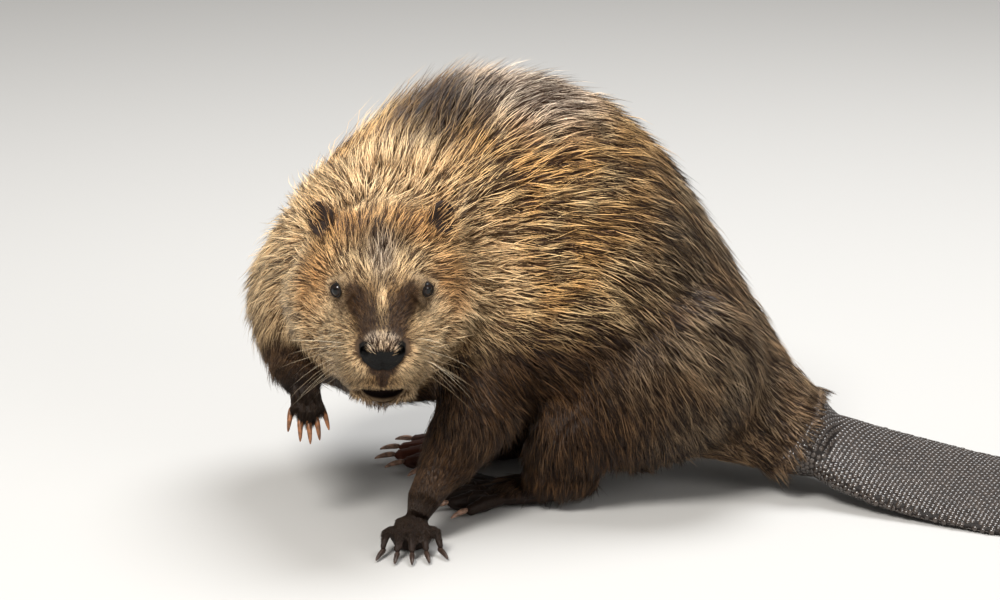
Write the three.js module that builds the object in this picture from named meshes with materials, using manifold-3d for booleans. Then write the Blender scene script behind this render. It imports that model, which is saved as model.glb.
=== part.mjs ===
// A North American beaver at life size, modelled with its coat on. It stands on both hind feet, its left
// forefoot and its tail, with the right forepaw lifted and the head turned to its left.
// Millimetres. +Z up, +Y from the chest towards the tail, +X towards the animal's left, where it looks.
import * as THREE from 'three';
import { mergeVertices } from 'three/addons/utils/BufferGeometryUtils.js';
import Module from 'manifold-3d';

const wasm = await Module();
wasm.setup();

// ---- Driving dimensions, in millimetres and degrees ----

const GAP = 0.35; // clearance between pieces that meet
const FAR = 1500; // edge of the blocks that make plane cuts
const WELD = 1e-3; // vertices closer than this are one
const UP = new THREE.Vector3(0, 0, 1);

// A station on a centre line: where it is, and the half width, height above and depth below it there.
const station = (at, wide, up, down = up) => ({ at, wide, up, down });

const TRUNK = {
  line: [
    station([-205, -158, 184], 30, 30), // breast
    station([-206, -132, 188], 78, 58, 66),
    station([-208, -84, 198], 116, 114, 96),
    station([-214, -12, 204], 136, 162, 114), // shoulders
    station([-226, 72, 204], 146, 187, 134), // ribs
    station([-236, 156, 198], 148, 180, 146), // loin
    station([-234, 232, 168], 138, 154, 136), // hips
    station([-222, 290, 116], 110, 108, 94), // rump
    station([-204, 342, 72], 74, 58, 54), // base of the tail
    station([-184, 378, 52], 52, 34, 36),
    station([-172, 406, 43], 40, 22, 26), // inside the tail's paddle
  ],
  rings: 20,
  sides: 22,
  square: 0.92,
  narrow: 0.12,
  capFront: 0.06,
  capBack: 0.04,
  level: true,
};
const TAIL_CUT = { at: [-212, 322, 90], towards: [0.2, 1, -0.6] };

const NECK = {
  line: [
    station([-76, -20, 226], 66, 54, 70), // inside the back of the head
    station([-114, -18, 226], 98, 82, 118), // nape and throat
    station([-150, -16, 216], 120, 110, 124),
    station([-196, -20, 208], 112, 120, 96), // inside the shoulders
    station([-240, -20, 204], 60, 80, 60),
  ],
  rings: 9,
  sides: 16,
  square: 0.95,
  narrow: 0.05,
  capFront: 0.05,
  capBack: 0.2,
  level: true,
};
const COLLAR = { at: [-66, -22, 216], deep: 104, wide: 132, high: 146 }; // the neck ends where this ball does

const TAIL = {
  line: [
    station([-196, 350, 55], 26, 18),
    station([-180, 384, 47], 44, 23),
    station([-160, 430, 33], 58, 18),
    station([-124, 500, 22], 63, 14),
    station([-86, 566, 18], 61, 12),
    station([-54, 616, 15], 48, 10),
    station([-38, 642, 13], 22, 8),
  ],
  above: new THREE.Vector3(0.22, -0.15, 1), // the upper face leans towards the animal's left
  rings: 14,
  sides: 16,
};

// The head's own frame: +X to the nose, +Y to its left, origin at the middle of the nose pad's face.
const HEAD = {
  place: [35, -20, 193],
  pitch: 12,
  yaw: 2,
  line: [
    station([-1, 0, -8], 14, 12, 14), // front of the muzzle
    station([-7, 0, -10], 28, 26, 40), // upper lip
    station([-22, 0, -10], 39, 33, 54), // whisker pads and chin
    station([-42, 0, -8], 48, 42, 62), // muzzle
    station([-64, 0, -4], 57, 52, 68), // eyes
    station([-96, 0, 2], 76, 68, 76), // cheeks
    station([-126, 0, 4], 88, 78, 80), // ears
    station([-152, 0, 2], 84, 72, 76), // back of the head
    station([-176, 0, 0], 60, 50, 56),
  ],
  rings: 17,
  sides: 20,
  narrow: 0.2,
  level: true,
  capFront: 0.03,
  capBack: 0.1,
};
// Forms of the left half of the face, repeated on the right.
const FACE = [
  { at: [-84, 66, -22], reach: 34, height: 5 }, // cheek
  { at: [-18, 24, -24], reach: 18, height: 4 }, // whisker pad
  { at: [-66, 30, 46], reach: 16, height: 3 }, // brow
  { at: [-46, 34, 20], reach: 15, height: -3 }, // hollow before the eye
];
const EYE = { radius: 6.6, at: [-59, 38, 31.5] };
const NOSE = { at: [-4, 0, 0], deep: 9, wide: 19.5, high: 16.5 };
const NOSTRIL = { at: [3.5, 13.5, -3], deep: 5.5, wide: 3, high: 5.5 };
const EAR = { at: [-124, 53.5, 68], thick: 4.5, wide: 15, high: 20, bowl: 4.5, turn: 28, lean: 12, cant: 14 };
const MOUTH = {
  line: [
    station([-16, -27, -36], 1.5, 1.5),
    station([-7, -17, -46], 4.5, 8),
    station([-4, 0, -50], 6, 10),
    station([-7, 17, -46], 4.5, 8),
    station([-16, 27, -36], 1.5, 1.5),
  ],
  rings: 8,
  sides: 8,
};

// Each leg is one form from inside the body to inside its foot, parted at the knee or elbow and the ankle.
const LEGS = {
  foreleg_left: {
    line: [
      station([-154, 58, 184], 52, 50), // inside the shoulder
      station([-126, 66, 140], 52, 50), // upper arm
      station([-92, 58, 100], 41, 39), // elbow
      station([-58, 37, 70], 29, 28), // forearm
      station([-38, 24, 54], 21, 20),
      station([-24, 15, 42], 17, 16), // wrist
      station([-12, 7, 24], 15, 14), // inside the foot
    ],
    bend: { at: [-100, 62, 104], towards: [0.7, -0.3, -0.8] },
    ankle: { at: [-15, 12, 31], towards: [0.35, -0.25, -1] },
    foot: { place: [-6, 3, 0], pitch: 0, yaw: 2, shape: 'forefoot' },
  },
  foreleg_right: {
    line: [
      station([-218, -66, 178], 46, 46),
      station([-196, -102, 160], 44, 42),
      station([-160, -111, 147], 33, 33), // elbow
      station([-124, -104, 141], 26, 26),
      station([-94, -98, 133], 19, 19), // wrist
      station([-80, -96, 118], 14, 14), // inside the paw
    ],
    bend: { at: [-168, -110, 150], towards: [1, 0.1, -0.1] },
    ankle: { at: [-89, -97, 128], towards: [0.7, 0, -1] },
    foot: { place: [-86, -96, 126], pitch: 52, yaw: 14, shape: 'forepaw' },
  },
  hindleg_left: {
    thigh: { at: [-150, 220, 124], deep: 78, wide: 108, high: 93, tilt: 20 },
    above: new THREE.Vector3(1, 0, 0),
    line: [
      station([-134, 186, 104], 54, 54), // inside the thigh
      station([-130, 158, 80], 51, 51), // knee
      station([-134, 144, 54], 43, 43), // shank
      station([-139, 140, 30], 35, 35), // ankle
      station([-141, 140, 12], 30, 30), // inside the foot
    ],
    ankle: { at: [-139, 140, 37], towards: [0, 0, -1] },
    foot: { place: [-152, 152, 0], pitch: 0, yaw: -84, shape: 'hindfoot' },
  },
  hindleg_right: {
    thigh: { at: [-320, 206, 122], deep: 76, wide: 104, high: 90, tilt: 20 },
    above: new THREE.Vector3(1, 0, 0),
    line: [
      station([-320, 162, 100], 52, 52),
      station([-315, 132, 78], 48, 48),
      station([-305, 112, 52], 41, 41),
      station([-297, 105, 30], 35, 35),
      station([-293, 106, 12], 31, 31),
    ],
    ankle: { at: [-297, 105, 37], towards: [0, 0, -1] },
    foot: { place: [-288, 108, 0], pitch: 0, yaw: -82, shape: 'hindfoot' },
  },
};
const LEG_RINGS = 8;
const LEG_SIDES = 12;

// The feet's own frame: +X to the toes, +Y to the foot's left, +Z its back, the sole on Z = 0.
const FEET = {
  forefoot: {
    sole: [
      station([-30, 0, 12], 9, 8),
      station([-18, 0, 13], 16, 15),
      station([-3, 0, 13], 20, 16),
      station([9, 0, 11], 20, 13),
      station([17, 0, 9], 14, 8),
    ],
    toes: { from: 0, out: [29, 38, 41, 37, 28], fan: 27, splay: 16, thick: 5.2, root: 18, knuckle: 20, tip: 3.6 },
    claw: { long: 13, wide: 2.5, high: 2.8, drop: 3.2 },
  },
  forepaw: {
    sole: [
      station([-14, 0, 4], 12, 10),
      station([-4, 0, 3], 15, 11),
      station([10, 0, 2], 18, 10),
      station([20, 0, 1], 16, 8),
    ],
    toes: { from: 8, out: [27, 36, 39, 36, 26], fan: 16, splay: 12, thick: 4.5, root: 3, knuckle: 5, tip: -3 },
    claw: { long: 13, wide: 2.7, high: 3, drop: 5 },
  },
  hindfoot: {
    sole: [
      station([-22, 0, 13], 14, 11),
      station([0, 0, 14], 23, 14),
      station([40, 0, 12], 27, 13),
      station([74, 0, 9], 34, 10),
      station([92, 0, 7], 26, 7),
    ],
    toes: { from: 66, out: [112, 128, 134, 126, 110], fan: 54, splay: 21, thick: 8, root: 10, knuckle: 11, tip: 7 },
    claw: { long: 14, wide: 3.6, high: 3.4, drop: 4 },
    web: 4,
  },
};
const TOE_NAMES = ['first', 'second', 'third', 'fourth', 'fifth'];

// ---- Shapes ----

// A value raised to a power that keeps its sign, for rounded-square sections.
const bent = (value, power) => Math.sign(value) * Math.abs(value) ** power;

// How far a round cap has opened at this share of its length.
const capped = (share) => Math.sqrt(1 - (1 - Math.min(1, share)) ** 2);

// A closed body round a smooth centre line through the stations. Its poles are the two ends.
function loft({ line, rings, sides, above = UP, level = false, square = 1, narrow = 0, capFront = 0.12, capBack = 0.12 }) {
  const path = new THREE.CatmullRomCurve3(line.map((s) => new THREE.Vector3(...s.at)), false, 'catmullrom');
  const sizes = new THREE.CatmullRomCurve3(line.map((s) => new THREE.Vector3(s.wide, s.up, s.down)), false, 'catmullrom');
  const geometry = new THREE.SphereGeometry(1, sides, rings);
  const position = geometry.getAttribute('position');
  const point = new THREE.Vector3();
  for (let row = 0; row <= rings; row += 1) {
    const t = (1 - Math.cos((Math.PI * row) / rings)) / 2;
    const centre = path.getPoint(t);
    const size = sizes.getPoint(t);
    const along = path.getTangent(t);
    if (level) along.setZ(0).normalize();
    const side = new THREE.Vector3().crossVectors(above, along).normalize();
    const top = new THREE.Vector3().crossVectors(along, side);
    const open = row % rings === 0 ? 0 : capped(t / capFront) * capped((1 - t) / capBack);
    for (let column = 0; column <= sides; column += 1) {
      const angle = (2 * Math.PI * (column % sides)) / sides;
      const across = bent(-Math.cos(angle), square);
      const rise = bent(Math.sin(angle), square);
      point.copy(centre);
      point.addScaledVector(side, across * size.x * open * (1 - narrow * rise));
      point.addScaledVector(top, rise * open * (rise > 0 ? size.y : size.z));
      position.setXYZ(row * (sides + 1) + column, ...point);
    }
  }
  return closed(geometry);
}

// The geometry with only positions, and each vertex held once.
function closed(geometry) {
  const bare = geometry.clone();
  bare.deleteAttribute('normal');
  bare.deleteAttribute('uv');
  return mergeVertices(bare, WELD);
}

// Every vertex of a closed geometry moved outwards, by a distance that may depend on its place.
function pushed(geometry, distanceAt) {
  const moved = geometry.clone();
  moved.computeVertexNormals();
  const position = moved.getAttribute('position');
  const normal = moved.getAttribute('normal');
  const point = new THREE.Vector3();
  const outward = new THREE.Vector3();
  for (let i = 0; i < position.count; i += 1) {
    point.fromBufferAttribute(position, i);
    outward.fromBufferAttribute(normal, i);
    point.addScaledVector(outward, distanceAt(point));
    position.setXYZ(i, ...point);
  }
  moved.deleteAttribute('normal');
  return moved;
}

const grown = (geometry, distance = GAP) => pushed(geometry, () => distance);

// Soft bumps and hollows, each with its centre, its reach and its height.
const swollen = (geometry, bumps) => pushed(geometry, (point) => bumps.reduce((sum, bump) => {
  const away = point.distanceTo(new THREE.Vector3(...bump.at)) / bump.reach;
  return sum + bump.height * Math.exp(-away * away);
}, 0));

// ---- Solids: joining and cutting ----

function solid(geometry, matrix = new THREE.Matrix4()) {
  const placed = closed(geometry.clone().applyMatrix4(matrix));
  return new wasm.Manifold(new wasm.Mesh({
    numProp: 3,
    vertProperties: new Float32Array(placed.getAttribute('position').array),
    triVerts: new Uint32Array(placed.index.array),
  }));
}

function geometryOf(manifold) {
  const made = manifold.getMesh();
  const geometry = new THREE.BufferGeometry();
  geometry.setAttribute('position', new THREE.BufferAttribute(new Float32Array(made.vertProperties), 3));
  geometry.setIndex(new THREE.BufferAttribute(new Uint32Array(made.triVerts), 1));
  return geometry;
}

const without = (from, cutters) => cutters.reduce((rest, cutter) => rest.subtract(cutter), from);
const joined = (pieces) => pieces.reduce((all, piece) => all.add(piece));

// Everything on the side of a plane that its normal points to, as a large block.
function beyond({ at, towards }, moved = 0) {
  const normal = new THREE.Vector3(...towards).normalize();
  const matrix = new THREE.Matrix4().makeRotationFromQuaternion(
    new THREE.Quaternion().setFromUnitVectors(UP, normal));
  matrix.setPosition(new THREE.Vector3(...at).addScaledVector(normal, FAR / 2 + moved));
  return solid(new THREE.BoxGeometry(FAR, FAR, FAR), matrix);
}

// The two sides of a plane, with the clearance between them.
const before = (whole, plane) => whole.subtract(beyond(plane, -GAP / 2));
const after = (whole, plane) => whole.intersect(beyond(plane, GAP / 2));

const belowFloor = beyond({ at: [0, 0, 0], towards: [0, 0, -1] });

function placing({ place, pitch = 0, yaw = 0 }) {
  const turn = new THREE.Euler(0, THREE.MathUtils.degToRad(pitch), THREE.MathUtils.degToRad(yaw), 'ZYX');
  return new THREE.Matrix4().makeRotationFromEuler(turn).setPosition(...place);
}

// ---- The scene graph ----

const beaver = new THREE.Group();

const finishes = {
  coat: new THREE.MeshStandardMaterial({ color: 0x7a5a3a, roughness: 0.85 }),
  darkCoat: new THREE.MeshStandardMaterial({ color: 0x46301f, roughness: 0.8 }),
  footSkin: new THREE.MeshStandardMaterial({ color: 0x2b211c, roughness: 0.6 }),
  tailSkin: new THREE.MeshStandardMaterial({ color: 0x37332f, roughness: 0.5 }),
  claw: new THREE.MeshStandardMaterial({ color: 0x8a4a2a, roughness: 0.4 }),
  nose: new THREE.MeshStandardMaterial({ color: 0x1d1a18, roughness: 0.35 }),
  eye: new THREE.MeshStandardMaterial({ color: 0x0b0908, roughness: 0.08 }),
};

function addPiece(parent, name, shape, finish) {
  const geometry = shape.isBufferGeometry ? shape : geometryOf(shape);
  const mesh = new THREE.Mesh(geometry, finishes[finish]);
  mesh.name = name;
  parent.add(mesh);
  return mesh;
}

function addGroup(parent, matrix) {
  const group = new THREE.Group();
  group.applyMatrix4(matrix);
  parent.add(group);
  return group;
}

// ---- Head, with its eyes, ears and nose ----

const onSide = ({ at, ...rest }, side) => ({ at: [at[0], at[1] * side, at[2]], ...rest });

const headPlace = placing(HEAD);
const headForm = swollen(loft(HEAD), [...FACE, ...FACE.map((bump) => onSide(bump, -1))]);

function ellipsoid({ at, deep, wide, high }, sides = 14, rings = 8) {
  const geometry = new THREE.SphereGeometry(1, sides, rings);
  geometry.scale(deep, wide, high);
  geometry.translate(...at);
  return closed(geometry);
}

function eyeForm(side) {
  const { at, radius } = onSide(EYE, side);
  return ellipsoid({ at, deep: radius, wide: radius, high: radius }, 12, 7);
}

function earForm(side) {
  const { thick, wide, high, bowl, turn, lean, cant } = EAR;
  const disc = new THREE.SphereGeometry(1, 11, 7).scale(thick, wide, high);
  const scoop = new THREE.SphereGeometry(1, 10, 6).scale(bowl, wide * 0.74, high * 0.72);
  const matrix = new THREE.Matrix4().makeRotationFromEuler(new THREE.Euler(
    THREE.MathUtils.degToRad(-cant * side), THREE.MathUtils.degToRad(-lean), THREE.MathUtils.degToRad(turn * side), 'ZYX'));
  matrix.setPosition(EAR.at[0], EAR.at[1] * side, EAR.at[2]);
  const front = new THREE.Matrix4().makeTranslation(thick * 0.9, 0, high * 0.08);
  return solid(disc, matrix).subtract(solid(scoop, matrix.clone().multiply(front)));
}

const noseForm = ellipsoid(NOSE, 11, 7);
const nose = without(solid(noseForm), [1, -1].map((side) => solid(ellipsoid(onSide(NOSTRIL, side), 7, 5))));

const head = without(solid(headForm), [
  solid(grown(noseForm)),
  solid(grown(eyeForm(1))),
  solid(grown(eyeForm(-1))),
  solid(loft(MOUTH)),
]);
const headGroup = addGroup(beaver, headPlace);
addPiece(headGroup, 'head', head, 'coat');
addPiece(headGroup, 'nose', nose, 'nose');
for (const [name, side] of [['left', 1], ['right', -1]]) {
  addPiece(headGroup, `eye_${name}`, eyeForm(side), 'eye');
  addPiece(headGroup, `ear_${name}`, earForm(side).subtract(solid(grown(headForm))), 'darkCoat');
}

// ---- Neck, trunk and tail ----

const trunkForm = loft(TRUNK);
const neckForm = loft(NECK);
const collarForm = ellipsoid(COLLAR, 16, 9);
const trunkClear = solid(grown(trunkForm));
const neckClear = solid(grown(neckForm));
const headClear = solid(grown(headForm), headPlace);
const body = solid(trunkForm).add(solid(neckForm));

addPiece(beaver, 'neck', body.intersect(solid(collarForm)).subtract(headClear), 'coat');
addPiece(beaver, 'trunk', before(body.subtract(solid(grown(collarForm))), TAIL_CUT), 'coat');
addPiece(beaver, 'tail_root', after(solid(trunkForm), TAIL_CUT).subtract(belowFloor), 'coat');
addPiece(beaver, 'tail_paddle', without(solid(loft(TAIL)), [trunkClear, belowFloor]), 'tailSkin');

// A thigh is an egg whose knee end hangs lower than its hip end.
function tilted({ at, deep, wide, high, tilt }) {
  const geometry = ellipsoid({ at: [0, 0, 0], deep, wide, high }, 14, 8);
  return geometry.rotateX(THREE.MathUtils.degToRad(tilt)).translate(...at);
}

// ---- Feet: a sole, five toes and their claws, and a web between the hind toes ----

function footParts({ sole, toes, claw, web }, mirrored) {
  const base = solid(loft({ line: sole, rings: 5, sides: 8, level: true, capFront: 0.2, capBack: 0.2 }));
  const tips = toes.out.map((out, i) => {
    const across = (i - 2) * (mirrored ? -1 : 1);
    return new THREE.Vector3(out, across * toes.fan * 0.5, toes.tip);
  });
  const roots = tips.map((tip, i) => new THREE.Vector3(toes.from, (i - 2) * (mirrored ? -1 : 1) * toes.splay * 0.5, toes.root));
  const made = tips.map((tip, i) => {
    const root = roots[i];
    const knuckle = root.clone().lerp(tip, 0.55).setZ(toes.knuckle);
    return solid(loft({
      line: [
        station([...root], toes.thick, toes.thick),
        station([...knuckle], toes.thick, toes.thick * 0.9),
        station([...tip], toes.thick * 0.78, toes.thick * 0.7),
      ],
      rings: 4, sides: 5, capFront: 0.3, capBack: 0.3,
    }));
  });
  const claws = tips.map((tip, i) => {
    const ahead = tip.clone().sub(roots[i]).setZ(0).normalize();
    const point = (share, drop) => [
      tip.x + ahead.x * (claw.long * share - 5), tip.y + ahead.y * (claw.long * share - 5), tip.z + 1.5 - drop];
    return loft({
      line: [
        station(point(0, 0), claw.wide, claw.high),
        station(point(0.6, 0), claw.wide, claw.high),
        station(point(1.2, claw.drop * 0.45), claw.wide * 0.6, claw.high * 0.6),
        station(point(1.5, claw.drop), 0.6, 0.6),
      ],
      rings: 4, sides: 5, capFront: 0.2, capBack: 0.05,
    });
  });
  const parts = [base, ...made];
  if (web) {
    const outline = new THREE.Shape();
    const edge = mirrored ? [...tips].reverse() : tips;
    outline.moveTo(toes.from - 6, edge[0].y * 0.3);
    edge.forEach((tip, i) => {
      if (i > 0) {
        const last = edge[i - 1];
        outline.quadraticCurveTo((last.x + tip.x) / 2 - 16, (last.y + tip.y) / 2, tip.x - 6, tip.y);
      } else {
        outline.lineTo(tip.x - 6, tip.y);
      }
    });
    outline.lineTo(toes.from - 6, edge[4].y * 0.3);
    const sheet = new THREE.ExtrudeGeometry(outline, { depth: web, bevelEnabled: false, curveSegments: 2 });
    parts.push(solid(sheet, new THREE.Matrix4().makeTranslation(0, 0, 2.5)));
  }
  return { foot: joined(parts), claws };
}

// ---- Legs ----

for (const [name, leg] of Object.entries(LEGS)) {
  const form = loft({ line: leg.line, rings: LEG_RINGS, sides: LEG_SIDES, above: leg.above });
  const whole = without(solid(form), [trunkClear, neckClear]);
  const thighForm = leg.thigh && tilted(leg.thigh);
  const upper = thighForm ? solid(thighForm).subtract(trunkClear) : before(whole, leg.bend);
  const thighClear = thighForm && solid(grown(thighForm));
  const rest = thighForm ? whole.subtract(thighClear) : after(whole, leg.bend);
  const footPlace = placing(leg.foot);
  const intoFoot = footPlace.clone().invert();
  const { foot, claws } = footParts(FEET[leg.foot.shape], name.endsWith('right'));
  const stub = after(thighForm ? solid(form).subtract(thighClear) : after(solid(form), leg.bend), leg.ankle);
  const aboveAnkle = beyond({ at: leg.ankle.at, towards: leg.ankle.towards.map((v) => -v) }, -GAP / 2);
  const [stubHere, aboveHere, floorHere] = [stub, aboveAnkle, belowFloor].map((part) => part.transform(intoFoot.elements));
  const trimmed = without(joined([foot, stubHere]), [aboveHere, floorHere, ...claws.map((claw) => solid(grown(claw)))]);
  addPiece(beaver, `${name}_upper`, upper, 'coat');
  addPiece(beaver, `${name}_lower`, before(rest, leg.ankle), 'darkCoat');
  const footGroup = addGroup(beaver, footPlace);
  addPiece(footGroup, name.replace('leg', 'foot'), trimmed, 'footSkin');
  claws.forEach((claw, i) => {
    addPiece(footGroup, `${name.replace('leg', 'claw')}_${TOE_NAMES[i]}`, solid(claw).subtract(floorHere), 'claw');
  });
}

// ---- The origin is on the floor, under the middle of the whole animal ----

const room = new THREE.Box3().setFromObject(beaver, true);
const middle = room.getCenter(new THREE.Vector3());
beaver.position.set(-middle.x, -middle.y, -room.min.z);

export default beaver;
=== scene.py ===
import math

import bmesh
import bpy
import numpy as np
from bpy.props import FloatProperty, FloatVectorProperty, IntProperty, PointerProperty
from mathutils import Matrix, Vector
from mathutils.bvhtree import BVHTree
from mathutils.kdtree import KDTree


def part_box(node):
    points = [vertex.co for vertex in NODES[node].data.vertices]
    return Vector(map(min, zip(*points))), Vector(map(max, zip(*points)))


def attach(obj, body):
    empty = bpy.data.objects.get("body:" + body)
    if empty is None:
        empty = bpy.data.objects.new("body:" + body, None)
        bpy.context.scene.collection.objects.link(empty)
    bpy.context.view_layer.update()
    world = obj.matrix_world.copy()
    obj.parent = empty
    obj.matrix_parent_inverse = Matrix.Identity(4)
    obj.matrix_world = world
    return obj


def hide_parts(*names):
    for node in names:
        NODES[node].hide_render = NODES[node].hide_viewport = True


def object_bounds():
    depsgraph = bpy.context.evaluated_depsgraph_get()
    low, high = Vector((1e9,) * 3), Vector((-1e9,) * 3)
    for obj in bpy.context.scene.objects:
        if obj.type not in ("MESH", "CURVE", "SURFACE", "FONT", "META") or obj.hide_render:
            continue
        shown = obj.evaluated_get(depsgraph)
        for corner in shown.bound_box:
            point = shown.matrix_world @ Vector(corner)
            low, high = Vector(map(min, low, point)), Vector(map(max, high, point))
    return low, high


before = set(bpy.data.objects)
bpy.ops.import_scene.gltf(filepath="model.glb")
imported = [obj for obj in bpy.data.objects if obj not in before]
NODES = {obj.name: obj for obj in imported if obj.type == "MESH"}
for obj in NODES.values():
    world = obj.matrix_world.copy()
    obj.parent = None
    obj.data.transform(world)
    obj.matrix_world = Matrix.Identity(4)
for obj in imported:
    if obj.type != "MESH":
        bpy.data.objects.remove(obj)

bl_info = {
    "name": "Standing beaver",
    "version": (1, 0, 0),
    "blender": (4, 5, 0),
    "location": "3D View > Sidebar > Beaver",
    "description": "Dresses the solid beaver: skin, eyes, claws, coat, whiskers, tail scales and stage",
    "category": "Object",
}

CAD_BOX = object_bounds()
MM = 0.001
# The head has its own axes: x out of the nose, y to its left, z up.
HEAD_AT, HEAD_DOWN, HEAD_TURN = (35.0, -20.0, 193.0), math.radians(12), math.radians(2)
EYE_RADIUS, EYE_AT, EYE_LOOK = 6.6, (-59.0, 38.0, 31.5), (0.80, 0.60, 0.08)
# Half the width and height of the slit between the lids, and of the space that the hair
# leaves free, in radians.
SLIT, FREE_OF_HAIR = (0.76, 1.12), (0.86, 1.24)
EYES = ("eye_left", "eye_right")
CLAWED = ("foreclaw_left", "foreclaw_right", "hindclaw_left", "hindclaw_right")
FLESH = [n for n in sorted(NODES) if n not in EYES and not n.startswith(CLAWED)]


# ---------------------------------------------------------------- places

# Below, co names points of the frame in metres, and h points in the head's own millimetres.


def unit(v):
    v = np.asarray(v, float)
    return v / np.maximum(np.linalg.norm(v, axis=-1, keepdims=True), 1e-12)


def norms(v):
    """The length of each row."""
    return np.linalg.norm(v, axis=-1)


def ramp(x, low, high):
    """0 below low, 1 above high, and a smooth step between."""
    share = np.clip((np.asarray(x, float) - low) / (high - low), 0, 1)
    return share * share * (3 - 2 * share)


def fade(x, low, high):
    """1 below low, 0 above high, and a smooth step between."""
    return 1 - ramp(x, low, high)


HEAD_AXES = np.array(Matrix.Rotation(HEAD_TURN, 3, "Z") @ Matrix.Rotation(HEAD_DOWN, 3, "Y"))
# The print of the left forefoot is the maker's zero point, in millimetres: x to the animal's
# left, y to the tail, z up. The left eyeball says where that point lies in the frame.
EYE_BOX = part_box("eye_left")
PRINT = np.array((EYE_BOX[0] + EYE_BOX[1]) / 2) / MM - HEAD_AXES @ np.array(EYE_AT) - np.array(HEAD_AT)
PRINT[2] = 0.0
HEAD_ZERO = (np.array(HEAD_AT) + PRINT) * MM


def place(p):
    """A point in the maker's millimetres as a point of the frame, in metres."""
    return (np.asarray(p, float) + PRINT) * MM


def face(p):
    """A point on the head, in its own millimetres, as a point of the frame."""
    return HEAD_ZERO + (np.asarray(p, float) @ HEAD_AXES.T) * MM


def on_head(p):
    """A point of the frame as a point in the head's own millimetres."""
    return ((np.asarray(p, float) - HEAD_ZERO) @ HEAD_AXES) / MM


def sides_of(p):
    """The sides that have a row of a table: 1 for left, -1 for right."""
    return (1, -1) if p[1] else (1,)


def on_side(p, side):
    """A place on the head's left moved to that side."""
    return (p[0], side * p[1], p[2])


def eye_axes(side):
    """An eyeball's centre, the way it looks and the way up across it, in the head's millimetres."""
    centre = np.array(EYE_AT) * (1, side, 1)
    out = unit(np.array(EYE_LOOK) * (1, side, 1))
    return centre, out, unit(np.array((0, 0, 1.0)) - out * out[2])


def slit(d, side, opening):
    """How far out of the slit between the lids a direction from the eyeball's centre is, 1 at its edge."""
    _, out, up = eye_axes(side)
    front = d @ out
    wide, high = opening
    return np.hypot(np.arctan2(d @ np.cross(up, out), front) / wide, np.arctan2(d @ up, front) / high)


def one_side(h):
    """The same points on the head with the right half laid on the left."""
    return np.stack((h[:, 0], np.abs(h[:, 1]), h[:, 2]), 1)


# ---------------------------------------------------------------- the lie of the coat

# Each row: where, which way the hair lies, its length, how steeply it stands in degrees,
# and how deep the skin lies under the tips, in millimetres. In all the tables for the head,
# a row off the middle stands for both sides.
HEAD_LIE = [
    # Where on the head, the point that the hair runs away from, length, lift and depth.
    ((-1, 0, 15), (6, 0, 2), 5, 22, 1.0),
    ((-10, 9, 20), (8, 2, 6), 8, 22, 1.4),
    ((-24, 0, 36), (-8, 0, 22), 14, 24, 2.2),
    ((-28, 16, 32), (-14, 2, 20), 13, 22, 2.0),
    ((-48, 0, 50), (-22, 0, 32), 20, 18, 3.6),
    ((-80, 0, 68), (-30, 0, 28), 26, 22, 6.0),
    ((-116, 0, 80), (-34, 0, 20), 30, 26, 8.5),
    ((-58, 27, 46), (-26, 0, 28), 20, 20, 3.4),
    ((-46, 36, 26), (-26, 10, 14), 6, 12, 1.2),
    ((-56, 42, 20), (-30, 14, 12), 8, 12, 1.8),
    ((-66, 51, 18), (-40, 14, 10), 22, 12, 3.0),
    ((-12, 24, -10), (4, 8, 2), 15, 10, 1.5),
    ((-34, 42, -18), (-8, 14, -2), 29, 11, 3.4),
    ((-72, 66, -16), (-40, 20, 0), 37, 17, 6.8),
    ((-104, 84, 2), (-70, 20, 4), 37, 28, 9.0),
    ((-94, 62, 44), (-26, 4, 14), 25, 22, 6.0),
    ((-108, 40, 66), (-50, 0, 20), 22, 36, 5.0),
    ((-116, 66, 58), (-50, 20, 20), 12, 20, 3.0),
    ((-140, 62, 62), (-30, 0, 10), 28, 28, 9.0),
    ((0, 0, -26), (6, 0, -10), 4, 18, 0.8),
    ((-6, 14, -26), (4, 4, -12), 8, 12, 1.2),
    ((-10, 20, -34), (4, 8, -16), 10, 12, 1.4),
    ((-6, 9, -55), (0, 6, -30), 6, 14, 1.2),
    ((-8, 0, -58), (4, 0, -20), 12, 28, 2.4),
    ((-38, 34, -54), (-20, 10, -20), 29, 18, 5.2),
    ((-84, 46, -72), (-10, 4, 0), 32, 30, 9.0),
    ((-66, 0, -82), (-20, 0, 0), 28, 30, 8.0),
]
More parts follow.
